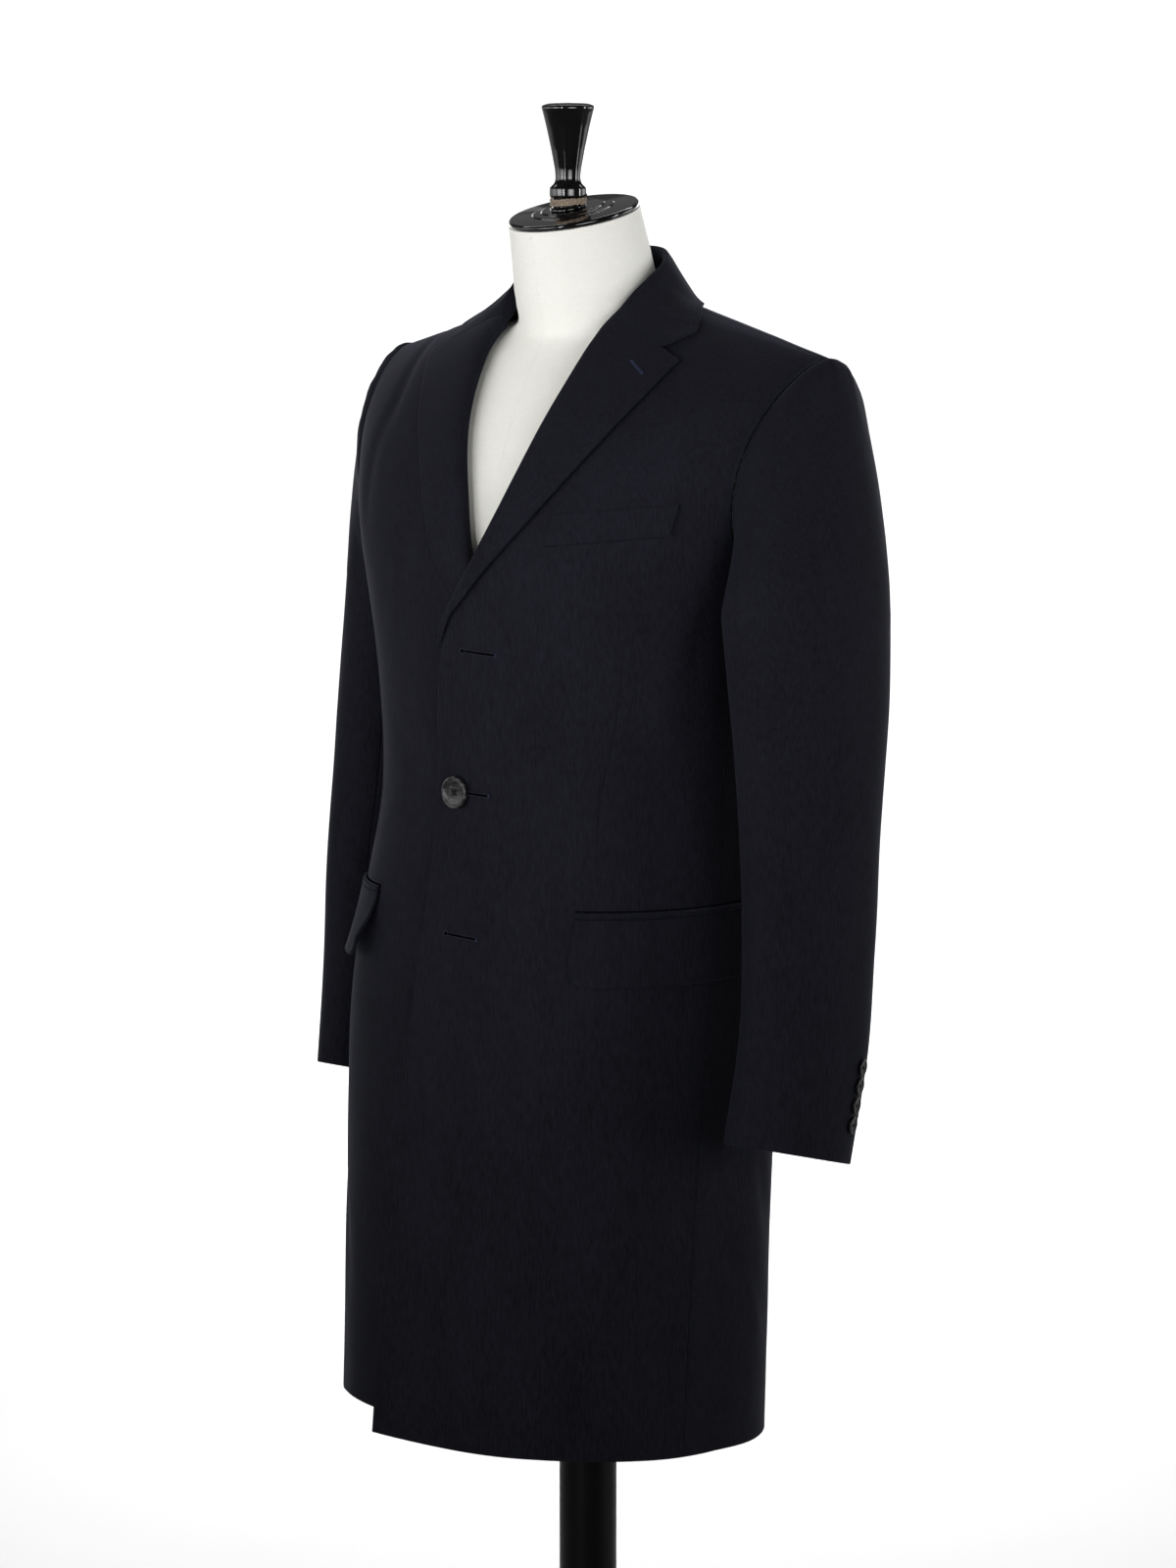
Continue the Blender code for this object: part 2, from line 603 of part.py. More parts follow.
def sleeve_piece(name, side, under, columns):
    cap_rows, arm_rows = 8, 12
    at = np.concatenate([np.linspace(0, 1, cap_rows) ** 1.3, np.linspace(1, 2, arm_rows)[1:]])
    fore, hind = np.radians(SLEEVE_SEAMS("fore", at)), np.radians(SLEEVE_SEAMS("hind", at))
    start, end = (fore, hind + 2 * math.pi) if under else (hind, fore)
    share = np.linspace(0, 1, columns)[None, :]
    turn = start[:, None] + (end - start)[:, None] * share
    level_at = np.repeat(at[:, None], columns, axis=1)
    outer = sleeve_point(turn, level_at, side)
    inner = outer - CLOTH * sleeve_normal(turn, level_at, side)
    sides = ("left", "right")
    lengths = (("", slice(None), sides),)
    if side == LEFT:
        # The bent left sleeve is held in two lengths, so that each follows its hollow closely.
        lengths = (
            ("_upper", slice(None, SLEEVE_CUT + 1), (*sides, "top")),
            ("_lower", slice(SLEEVE_CUT, None), (*sides, "bottom")),
        )
    for ending, rows, seams in lengths:
        walls = (pull_in(grid[rows], seams) for grid in (outer, inner))
        shell(f"{name}_{side_name(side)}{ending}", *walls, wool(), side == RIGHT)


def sleeve(side):
    sleeve_piece("sleeve_top", side, False, 14)
    sleeve_piece("sleeve_under", side, True, 9)


# ---------------------------------------------------------------- pockets
POCKET_Z = 1.0145           # top of the jet
JET_HIGH = 0.0055
FLAP_HIGH = 0.055
POCKET = {LEFT: np.radians((41, 97)), RIGHT: np.radians((33, 89))}    # its front and hind end
FLAP_CORNER = 0.018
# How far a flap's lower edge stands off in front and behind.
FLAP_STAND = {LEFT: (0.0014, 0.0014), RIGHT: (0.0150, 0.0015)}
FLAP_FLARED = 0.45          # the share of a flap's width over which the front's flare dies out
LAID = 0.0009               # clearance under a piece that lies on the panels
WELT_LOW = ((0.081, 1.308), (0.176, 1.319))   # lower edge of the chest welt: middle distance, height
WELT_HIGH = 0.0255
WELT_LEAN = 0.004           # how far its ends lean outwards
WELT_STAND = 0.0008         # how far its upper edge stands off


# Across a jet, from its lower edge up: a share of its width, and its height in walls.
JET_SECTION = ((0.0, 1.0), (0.5, 1.15), (1.0, 0.9))


def pocket_jet(side):
    rise, walls = (np.array(column)[:, None] for column in zip(*JET_SECTION))
    angle = np.repeat(np.linspace(*POCKET[side], 10)[None, :], len(JET_SECTION), axis=0)
    z = POCKET_Z - JET_HIGH * (1 - rise) + 0 * angle
    height = CLOTH * walls + LAID + 0 * angle
    return laid_wall(f"pocket_jet_{side_name(side)}", angle, z, side, height)


def pocket_flap(side):
    columns, rows = 12, 6
    front_end, hind_end = POCKET[side]
    angle_line = np.linspace(front_end, hind_end, columns)
    radius = 0.5 * (float(BODY("wide", POCKET_Z)) + float(BODY("front_l", POCKET_Z)))
    inset = np.minimum(angle_line - front_end, hind_end - angle_line) * radius
    cut = np.clip(1 - inset / FLAP_CORNER, 0, 1)
    deep = FLAP_HIGH - FLAP_CORNER * (1 - np.sqrt(1 - cut**2))
    down = np.linspace(0, 1, rows)[::-1, None]
    z = POCKET_Z - JET_HIGH - SEAM - deep[None, :] * down
    angle = np.repeat(angle_line[None, :], rows, axis=0)
    along = np.linspace(0, 1, columns)[None, :]
    front, hind = FLAP_STAND[side]
    stand_off = front + (hind - front) * np.clip(along / FLAP_FLARED, 0, 1)
    height = CLOTH + LAID + stand_off * down**1.5
    return laid_wall(f"pocket_flap_{side_name(side)}", angle, z, side, height)


def chest_welt():
    columns, rows = 8, 3
    (x0, z0), (x1, z1) = WELT_LOW
    share = np.linspace(0, 1, columns)[None, :]
    up = np.linspace(0, 1, rows)[:, None]
    x = x0 + (x1 - x0) * share + WELT_LEAN * up
    z = z0 + (z1 - z0) * share + WELT_HIGH * up
    height = 0.9 * CLOTH + LAID + WELT_STAND * up + 0 * x
    return laid_wall("chest_welt", front_angle(x, z), z, LEFT, height)


# ---------------------------------------------------------------- buttons
FRONT_BUTTON = 0.0135       # radius
CUFF_BUTTON = 0.0072
FRONT_BUTTON_Z = 1.1045
FRONT_BUTTON_LIFT = 0.0012  # the shank of thread
CUFF_BUTTON_LIFT = 0.0006
# A button's profile as shares of its radius (out, forward): foot, rim and the dish in the middle.
BUTTON_PROFILE = ((0, 0), (0.84, 0), (1, 0.12), (1, 0.24), (0.90, 0.32), (0.74, 0.25), (0, 0.22))


def turned(name, profile, sides, place, forward, finish, slope=0.0):
    """A closed solid of revolution; its profile runs (radius, distance along the axis).

    A profile that starts off the axis closes on itself. The slope tilts the foot about X, and dies out
    over SLOPE_HIGH.
    """
    forward = unit(np.array(forward, float))
    aside = unit(np.cross(forward, [0.31, 0.2, 0.93]))
    other = np.cross(forward, aside)
    points, rings = [], []
    for radius, along in profile:
        count = sides if radius else 1
        rings.append(list(range(len(points), len(points) + count)))
        for step in range(count):
            turn = 2 * math.pi * step / sides
            spoke = radius * (math.cos(turn) * aside + math.sin(turn) * other)
            rise = slope * spoke[1] * max(0.0, 1 - along / SLOPE_HIGH)
            points.append(np.array(place) + along * forward + spoke + np.array([0, 0, rise]))
    faces = []
    pairs = list(zip(rings, rings[1:]))
    if profile[0][0]:
        pairs.append((rings[-1], rings[0]))
    for low, high in pairs:
        for step in range(sides):
            after = (step + 1) % sides
            if len(low) == 1:
                faces.append((low[0], high[after], high[step]))
            elif len(high) == 1:
                faces.append((low[step], low[after], high[0]))
            else:
                faces.append((low[step], low[after], high[after], high[step]))
    return add_object(name, points, faces, finish)


def button(name, radius, place, forward, sides):
    profile = [(radius * out, radius * along) for out, along in BUTTON_PROFILE]
    return turned(name, profile, sides, place, forward, horn())


def front_button():
    angle, z = front_angle(0.0, FRONT_BUTTON_Z), np.array(FRONT_BUTTON_Z)
    normal = body_normal(angle, z, LEFT)
    place = body_point(angle, z, LEFT) + FRONT_BUTTON_LIFT * normal
    return button("front_button", FRONT_BUTTON, place, normal, 20)


CUFF_BUTTONS = 4
CUFF_BUTTON_TURN = -22      # degrees round the sleeve at the cuff, just ahead of the hind seam
CUFF_BUTTON_SLANT = 18      # degrees that their line turns back for each ring
CUFF_BUTTON_STEP = 0.0152
CUFF_BUTTON_FIRST = 0.030   # above the cuff


def cuff_buttons(side):
    above, cuff = SLEEVE.at[-2:]
    length = float(SLEEVE("z", above) - SLEEVE("z", cuff)) / (cuff - above)
    for number in range(CUFF_BUTTONS):
        up = CUFF_BUTTON_FIRST + number * CUFF_BUTTON_STEP
        at = np.array(cuff - up / length)
        turn = np.radians(CUFF_BUTTON_TURN - CUFF_BUTTON_SLANT * (cuff - at))
        normal = sleeve_normal(turn, at, side)
        place = sleeve_point(turn, at, side) + CUFF_BUTTON_LIFT * normal
        button(f"cuff_button_{side_name(side)}_{number + 1}", CUFF_BUTTON, place, normal, 10)


# ---------------------------------------------------------------- the dress form and its stand
FORM_CLEAR = 0.0125         # from the coat's outer face to the form
FORM_FOOT_Z = 0.860
FORM_WIDEST = 0.200         # half its width at the shoulders, well inside the armholes
FORM_SIDES = 28
FORM_CHEST_Z = 1.380        # its rings are even up to here, and close together above
FORM_CHEST_RINGS = 10
FORM_HIGH_Z = (1.410, 1.435, 1.455, 1.470, 1.483, 1.494)
BLEND = 14                  # how sharply the neck grows out of the shoulders
NECK_FROM = (1.40, 0.06)    # where the neck starts to show in the shoulders, and over what height
NECK_RINGS = (0.12, 0.4, 0.7, 1.0)            # shares of the way up to the cap
NECK_TURNED = 0.4           # by this share of the way its rings lean with the neck
NECK_RADIUS = (0.0600, 0.0545)                # at the foot of the neck and under the cap
NECK_LEAN = math.radians(14)
NECK_FOOT = (0.0, 0.000, 1.500)
CAP_ALONG = 0.0700          # from the foot of the neck to the cap, along its leaning axis
POLE_RADIUS = 0.0243
BASE_RADIUS = 0.190
BASE_HIGH = 0.012
BASE_EDGE = 0.002


def cream():
    return material("cream_form", (0.80, 0.79, 0.74), 0.75)


def gloss_black():
    return material("gloss_black", (0.006, 0.006, 0.007), 0.08)


def jute():
    return material("jute", (0.22, 0.16, 0.10), 0.9)


def neck_axis(along):
    return np.array(NECK_FOOT) + along * np.array([0, -math.sin(NECK_LEAN), math.cos(NECK_LEAN)])


def inside_form(x, y, z):
    """Whether a point (x from the coat's middle) lies in the form's body."""
    half = min(float(BODY("wide", z)) - 0.9 * FORM_CLEAR, FORM_WIDEST)
    top = float(shoulder_z(x)) - FORM_CLEAR
    if abs(x) >= half or z >= top:
        return False
    square = float(BODY("square", z))
    shape = (1 - (abs(x) / half) ** square) ** (1 / square)
    middle = float(BODY("mid", z))
    rise = max((z - CHEST_Z) / (top - CHEST_Z), 0)
    if y < middle:
        reach = (float(BODY("front_r", z)) + middle - FORM_CLEAR) * shape
        return middle - y < reach * (1 - rise ** FRONT_FULL[0]) ** (1 / FRONT_FULL[1])
    reach = (float(BODY("back", z)) - middle - FORM_CLEAR) * shape
    return y - middle < reach * (1 - rise ** BACK_FULL[0]) ** (1 / BACK_FULL[1])


def form_radius(turn, z, centre):
    """How far the body reaches from the centre of a section, in one direction."""
    near, far = 0.0, 0.30
    for _ in range(22):
        middle = (near + far) / 2
        x, y = centre[0] + middle * math.cos(turn), centre[1] + middle * math.sin(turn)
        if inside_form(x, y, z):
            near = middle
        else:
            far = middle
    return near


def form_turns():
    return [2 * math.pi * step / FORM_SIDES for step in range(FORM_SIDES)]


def form_body_ring(z):
    """A level ring of the form's body, out of which the neck grows near the shoulders."""
    centre = np.array([0.0, 0.9 * float(BODY("mid", z))])
    neck = neck_axis((z - NECK_FOOT[2]) / math.cos(NECK_LEAN))
    offset = neck[:2] - centre
    use = float(np.clip((z - NECK_FROM[0]) / NECK_FROM[1], 0, 1))
    aside = float(BODY("shift", z)) * (1 - use)
    ring = []
    for turn in form_turns():
        body = form_radius(turn, z, centre)
        spoke = np.array([math.cos(turn), math.sin(turn)])
        along = float(offset @ spoke)
        across = float(offset @ offset) - along**2
        reach = along + math.sqrt(max(NECK_RADIUS[0] ** 2 - across, 0.0))
        radius = (body**BLEND + (use * max(reach, 0.0)) ** BLEND) ** (1 / BLEND)
        ring.append((centre[0] + aside + radius * spoke[0], centre[1] + radius * spoke[1], z))
    return ring


def form_neck_ring(share):
    middle = neck_axis(CAP_ALONG * share)
    radius = NECK_RADIUS[0] + (NECK_RADIUS[1] - NECK_RADIUS[0]) * share
    lean = NECK_LEAN * min(1.0, share / NECK_TURNED)
    tilted = np.array([0, math.cos(lean), math.sin(lean)])
    level = np.array([1.0, 0, 0])
    return [
        tuple(middle + radius * (math.cos(turn) * level + math.sin(turn) * tilted))
        for turn in form_turns()
    ]


def dress_form():
    chest = np.linspace(FORM_FOOT_Z, FORM_CHEST_Z, FORM_CHEST_RINGS)
    rings = [form_body_ring(z) for z in (*chest, *FORM_HIGH_Z)]
    rings += [form_neck_ring(share) for share in NECK_RINGS]
    points = [point for ring in rings for point in ring]
    last = len(points) - FORM_SIDES
    faces = [tuple(range(FORM_SIDES))[::-1], tuple(range(last, len(points)))]
    for row in range(len(rings) - 1):
        for step in range(FORM_SIDES):
            a, b = (row * FORM_SIDES + each % FORM_SIDES for each in (step, step + 1))
            faces.append((a, b, b + FORM_SIDES, a + FORM_SIDES))
    return add_object("form_torso", points, faces, cream())


# Profiles of the turned pieces: (radius, height over their own foot).
CAP_PROFILE = (
    (0, 0), (0.0535, 0), (0.0548, 0.0014), (0.0548, 0.0034), (0.0530, 0.0046), (0.0345, 0.0050),
    (0.0335, 0.0060), (0.0268, 0.0063), (0.0258, 0.0074), (0, 0.0074),
)
FINIAL_PROFILE = (
    (0, 0), (0.0148, 0), (0.0148, 0.0018), (0.0125, 0.0018), (0.0125, 0.0092), (0.0155, 0.0092),
    (0.0158, 0.0102), (0.0158, 0.0160), (0.0148, 0.0172), (0.0118, 0.0200), (0.0107, 0.0240),
    (0.0112, 0.0310), (0.0145, 0.0480), (0.0188, 0.0670), (0.0219, 0.0790), (0.0227, 0.0812),
    (0.0221, 0.0832), (0.0165, 0.0850), (0, 0.0860),
)
BINDING_PROFILE = (
    (0.0128, 0.0021), (0.0146, 0.0021), (0.0153, 0.0032), (0.0149, 0.0041), (0.0154, 0.0053),
    (0.0149, 0.0065), (0.0153, 0.0076), (0.0146, 0.0089), (0.0128, 0.0089),
)
SLOPE_HIGH = 0.0092         # the finial's foot leans with the cap and is upright above this
FINIAL_Y = -0.0245


def stand():
    lean = math.tan(NECK_LEAN)
    axis = neck_axis(1.0) - neck_axis(0.0)
    turned("neck_cap", CAP_PROFILE, 28, neck_axis(CAP_ALONG + SEAM), axis, gloss_black())
    top = neck_axis(CAP_ALONG + CAP_PROFILE[-1][1] + 2 * SEAM)
    foot = np.array([0.0, FINIAL_Y, top[2] + lean * (FINIAL_Y - top[1])])
    turned("finial", FINIAL_PROFILE, 22, foot, (0, 0, 1), gloss_black(), lean)
    turned("finial_binding", BINDING_PROFILE, 20, foot, (0, 0, 1), jute(), lean)
    low, high = BASE_HIGH + SEAM, FORM_FOOT_Z - SEAM
    pole = ((0, low), (POLE_RADIUS, low), (POLE_RADIUS, high), (0, high))
    turned("pole", pole, 24, (0, 0, 0), (0, 0, 1), gloss_black())
    inside = BASE_RADIUS - BASE_EDGE
    base = (
        (0, 0),
        (inside, 0),
        (BASE_RADIUS, BASE_EDGE),
        (BASE_RADIUS, BASE_HIGH - BASE_EDGE),
        (inside, BASE_HIGH),
        (0, BASE_HIGH),
    )
    turned("base", base, 40, (0, 0, 0), (0, 0, 1), gloss_black())


def clear_scene():
    for thing in list(bpy.data.objects):
        bpy.data.objects.remove(thing, do_unlink=True)


def stand_over_origin():
    """Moves everything so that the middle of its box is over the origin, with the base on the floor."""
    things = list(bpy.data.objects)
    corners = np.array([vertex.co for thing in things for vertex in thing.data.vertices])
    low, high = corners.min(axis=0), corners.max(axis=0)
    move = Matrix.Translation((-(low[0] + high[0]) / 2, -(low[1] + high[1]) / 2, -low[2]))
    for thing in things:
        thing.data.transform(move)


def build():
    clear_scene()
    for side in (LEFT, RIGHT):
        front_panel(side)
        side_panel(side)
        back_panel(side)
        lapel(side)
        sleeve(side)
        pocket_jet(side)
        pocket_flap(side)
        cuff_buttons(side)
    collar()
    chest_welt()
    front_button()
    dress_form()
    stand()
    stand_over_origin()


build()
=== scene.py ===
import math

import bpy
import numpy as np
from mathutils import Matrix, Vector


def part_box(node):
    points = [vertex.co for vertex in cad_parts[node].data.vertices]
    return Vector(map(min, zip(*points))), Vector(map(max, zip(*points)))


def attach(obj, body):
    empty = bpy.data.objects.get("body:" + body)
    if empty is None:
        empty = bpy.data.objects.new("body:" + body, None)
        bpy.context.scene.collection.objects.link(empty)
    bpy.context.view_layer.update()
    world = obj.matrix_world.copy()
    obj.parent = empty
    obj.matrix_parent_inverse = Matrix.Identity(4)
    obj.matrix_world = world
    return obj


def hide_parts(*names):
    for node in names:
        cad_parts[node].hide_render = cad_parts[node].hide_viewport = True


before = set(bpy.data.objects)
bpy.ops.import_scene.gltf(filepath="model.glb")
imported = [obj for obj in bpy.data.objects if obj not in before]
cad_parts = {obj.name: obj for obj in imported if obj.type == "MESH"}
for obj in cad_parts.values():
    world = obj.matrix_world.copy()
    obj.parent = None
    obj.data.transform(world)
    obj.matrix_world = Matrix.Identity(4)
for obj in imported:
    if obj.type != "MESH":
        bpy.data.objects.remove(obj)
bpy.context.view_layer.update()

CLOTH = 0.0026              # wall of the wool cloth
SEAM = 0.0003               # gap between two pieces that are sewn to each other
HEM_Z = 0.566               # in front
HEM_DROP = 0.016            # how much lower it hangs behind
HEM_TURN = (math.radians(40), math.radians(75))    # where it starts to drop, and over how much
ARMPIT_Z = 1.276
CHEST_Z = 1.280             # above this height the body closes in towards the shoulder line
SHOULDER_TOP = 1.520        # height of the shoulder line, carried on to the middle of the neck
SHOULDER_FALL = 0.276       # its slope towards the sleeve
NECK_ROUND = 0.020
SHOULDER_HALF = 0.230       # middle of the back to the sleeve seam
BACK_NECK_Z = 1.492
FRONT_FULL = (1.9, 1.7)     # how the chest and the back round over into the shoulder line
BACK_FULL = (2.6, 2.0)
ACROSS_HALF = 0.205         # half the width across the chest between the armholes
FRONT_SEAM = math.radians(84)
BACK_SEAM = math.radians(124)
ARMHOLE_FRONT = math.radians(147)
ARMHOLE_BACK = math.radians(118)
FLARE_Z = 1.12              # above this height the long seams turn towards the armhole
ARMHOLE_ROUND = 2.2         # how far down the armhole keeps the shoulder's width
BREAK_Z = 1.238             # where the lapel starts to turn
OPENING_TOP_Z = 1.4975
LEFT, RIGHT = 1, -1
NECK_HALF = {LEFT: 0.062, RIGHT: 0.078}       # middle of the back to the shoulder seam's inner end


def columns_of(names, rows):
    return dict(zip(names, np.array(rows, float).T))


def hermite(t, start, end, leave, arrive):
    """A smooth way from start to end; leave and arrive are its directions there."""
    near, far = 2 * t**3 - 3 * t**2 + 1, 3 * t**2 - 2 * t**3
    return near * start + far * end + (t**3 - 2 * t**2 + t) * leave + (t**3 - t**2) * arrive


class Table:
    """Named columns, read by a smooth curve that passes through every row."""

    def __init__(self, names, rows):
        self.values = columns_of(names, rows)
        self.at = self.values[names[0]]
        self.slopes = {name: np.gradient(v, self.at) for name, v in self.values.items()}

    def __call__(self, name, where):
        where = np.clip(where, self.at[0], self.at[-1])
        i = np.clip(np.searchsorted(self.at, where, side="right") - 1, 0, len(self.at) - 2)
        step = self.at[i + 1] - self.at[i]
        t = (where - self.at[i]) / step
        values, slopes = self.values[name], self.slopes[name]
        return hermite(t, values[i], values[i + 1], step * slopes[i], step * slopes[i + 1])


# Sections of the worn coat: where the middle lies, half the width, how far the left front, the
# right front and the back reach from the pole, the line of the widest points and how square the
# section is.
BODY = Table(
    ("z", "shift", "wide", "front_l", "front_r", "back", "mid", "square"),
    (
        (0.560, -0.033, 0.188, 0.196, 0.143, 0.135, -0.020, 2.60),
        (0.750, -0.026, 0.187, 0.188, 0.151, 0.138, -0.018, 2.50),
        (0.950, -0.015, 0.184, 0.172, 0.157, 0.142, -0.012, 2.40),
        (1.020, -0.007, 0.179, 0.165, 0.156, 0.137, -0.008, 2.35),
        (1.090, -0.001, 0.171, 0.159, 0.154, 0.122, -0.004, 2.30),
        (1.180, 0.004, 0.181, 0.160, 0.153, 0.122, 0.000, 2.35),
        (1.280, 0.007, 0.204, 0.161, 0.150, 0.138, 0.008, 2.55),
        (1.340, 0.008, 0.224, 0.154, 0.145, 0.143, 0.014, 2.65),
        (1.400, 0.008, 0.242, 0.150, 0.144, 0.138, 0.018, 2.65),
        (1.520, 0.008, 0.262, 0.150, 0.144, 0.135, 0.020, 2.55),
    ),
)
# The turned edge of each front, from the hem up to the neck: its distance from the middle of the
# front.
OPENING = Table(
    ("z", "x_l", "x_r"),
    (
        (0.560, -0.034, -0.026),
        (0.660, -0.031, -0.025),
        (0.800, -0.022, -0.024),
        (1.000, -0.021, -0.024),
        (1.100, -0.024, -0.024),
        (1.200, -0.024, -0.024),
        (1.238, -0.017, -0.024),
        (1.295, 0.016, 0.0045),
        (1.350, 0.038, 0.0248),
        (1.400, 0.051, 0.0440),
        (1.443, 0.0568, 0.0590),
        (1.470, 0.0562, 0.0695),
        (1.488, 0.0555, 0.0725),
        (1.498, 0.0620, 0.0780),
    ),
)


def key_of(side):
    """The ending of a table's columns for one side of the coat."""
    return "_l" if side == LEFT else "_r"


def shoulder_z(x):
    return SHOULDER_TOP - SHOULDER_FALL * np.sqrt(x**2 + NECK_ROUND**2)


def closing_in(x, z, full):
    rise = np.clip((z - CHEST_Z) / (shoulder_z(x) - CHEST_Z), 0, 1)
    return (1 - rise ** full[0]) ** (1 / full[1])


def body_point(angle, z, side):
    """A point of the coat's outer face; the angle is 0 in front and 180 degrees behind."""
    x = BODY("wide", z) * np.sin(angle)
    square = BODY("square", z)
    shape = (1 - np.abs(np.sin(angle)) ** square) ** (1 / square)
    middle = BODY("mid", z)
    front = BODY("front" + key_of(side), z)
    ahead = middle - (front + middle) * shape * closing_in(x, z, FRONT_FULL)
    behind = middle + (BODY("back", z) - middle) * shape * closing_in(x, z, BACK_FULL)
    y = np.where(np.cos(angle) > 0, ahead, behind)
    return np.stack([BODY("shift", z) + side * x, y, z + 0 * x], axis=-1)


def unit(vectors):
    return vectors / np.linalg.norm(vectors, axis=-1, keepdims=True)


def body_normal(angle, z, side):
    small = 0.002
    x = BODY("wide", z) * np.sin(angle)
    z = np.minimum(z, shoulder_z(x) - 2 * small)
    along = body_point(angle + small, z, side) - body_point(angle - small, z, side)
    up = body_point(angle, z + small, side) - body_point(angle, z - small, side)
    return unit(side * np.cross(along, up))


def front_angle(x, z):
    return np.arcsin(np.clip(x / BODY("wide", z), -1, 1))


def coons(left, right, bottom, top):
    """A patch that fills four border curves; left and right run by row, the others by column."""
    v = np.linspace(0, 1, len(left))[:, None, None]
    u = np.linspace(0, 1, len(bottom))[None, :, None]
    sides = (1 - u) * left[:, None] + u * right[:, None]
    ends = (1 - v) * bottom[None, :] + v * top[None, :]
    corners = (1 - u) * (1 - v) * bottom[0] + u * (1 - v) * bottom[-1]
    corners = corners + (1 - u) * v * top[0] + u * v * top[-1]
    return sides + ends - corners


def spread(start, end, count, crowd):
    """Steps from start to end, crowded towards the end when crowd is over 1."""
    t = 1 - (1 - np.linspace(0, 1, count)) ** crowd
    return start + (end - start) * t


ROWS = 22                   # of the front and back panels, along their long seams
COLUMNS = 11
SIDE_COLUMNS = (2, 3)       # of the side panel, ahead of the armhole's foot and behind it
ARMHOLE_ROWS = 9            # of those rows, how many lie along the armhole
OPENING_ROWS = 12           # of those rows, how many lie below the break
BACK_CHEST_Z = 1.25         # from here up the rows of the back crowd towards the neck
OPENING_CROWD, BACK_CROWD = 1.5, 1.4          # how much the rows crowd there
NECK_SHARES = np.array([0.0, 0.45, 0.8])      # the columns of the back's neckline


def armhole(turn):
    """The armhole's curve in (angle, z); the turn is 0 at the shoulder and 180 degrees below."""
    down = (1 - np.cos(turn)) / 2
    bottom_half = float(BODY("wide", ARMPIT_Z))
    x = ACROSS_HALF + (SHOULDER_HALF - ACROSS_HALF) * (1 - down) ** ARMHOLE_ROUND
    x = x + (bottom_half - ACROSS_HALF) * down**3
    z = ARMPIT_Z + (shoulder_z(x) - ARMPIT_Z) * (1 - down)
    return front_angle(np.minimum(x, BODY("wide", z)), z), z


def armhole_curve(start, end, count, behind=False):
    angle, z = armhole(np.linspace(start, end, count))
    return np.stack([math.pi - angle if behind else angle, z], axis=-1)


def hem_z(angle):
    share = np.clip((angle - HEM_TURN[0]) / HEM_TURN[1], 0, 1)
    return HEM_Z - HEM_DROP * share**2 * (3 - 2 * share)


def seam_curve(low, high, count):
    """A long seam in (angle, z), from the hem at one angle to the armhole at another."""
    z = np.linspace(float(hem_z(low)), high[1], count)
    blend = np.clip((z - FLARE_Z) / (high[1] - FLARE_Z), 0, 1) ** 2
    return np.stack([low + (high[0] - low) * blend, z], axis=-1)


def hem_curve(start, end, count):
    angle = np.linspace(start, end, count)
    return np.stack([angle, hem_z(angle)], axis=-1)


def shoulder_curve(side, behind, count):
    x = np.linspace(NECK_HALF[side], SHOULDER_HALF, count)
    z = shoulder_z(x)
    angle = front_angle(x, z)
    return np.stack([math.pi - angle if behind else angle, z], axis=-1)


def opening_x(z, side):
    return OPENING("x" + key_of(side), z)


def side_name(side):
    return "left" if side == LEFT else "right"


# The turned-back lapel's free edge: distance from the middle of the front, and height, by the share
# of the way from the break up to the point of the lapel.
LAPEL = Table(
    ("share", "x_l", "z_l", "x_r", "z_r"),
    (
        (0.00, -0.011, 1.240, -0.018, 1.240),
        (0.12, 0.012, 1.269, 0.012, 1.262),
        (0.24, 0.037, 1.296, 0.037, 1.288),
        (0.42, 0.069, 1.334, 0.060, 1.328),
        (0.62, 0.101, 1.378, 0.080, 1.370),
        (0.82, 0.127, 1.424, 0.111, 1.420),
        (1.00, 0.137, 1.4525, 0.137, 1.4525),
    ),
)
ROLL_TOP_Z = {LEFT: 1.4855, RIGHT: 1.4800}
# Across a lapel, from beside the turned edge out to the free edge: a fixed distance, a share of the
# width, and the height of the outer face over the front.
LAPEL_ROLL = (
    (-0.0037, 0.00, -0.0014),
    (-0.0035, 0.00, 0.0024),
    (-0.0004, 0.00, 0.0058),
    (0.0020, 0.14, 0.0072),
    (0.0010, 0.42, 0.0066),
    (0.0000, 0.72, 0.0056),
    (0.0000, 1.00, 0.0046),
)
LAPEL_LOW = 0.0041          # the same height at the break, where the lapel lies flat
LAPEL_TURNED = 0.25         # the share of its length over which it rises to those heights
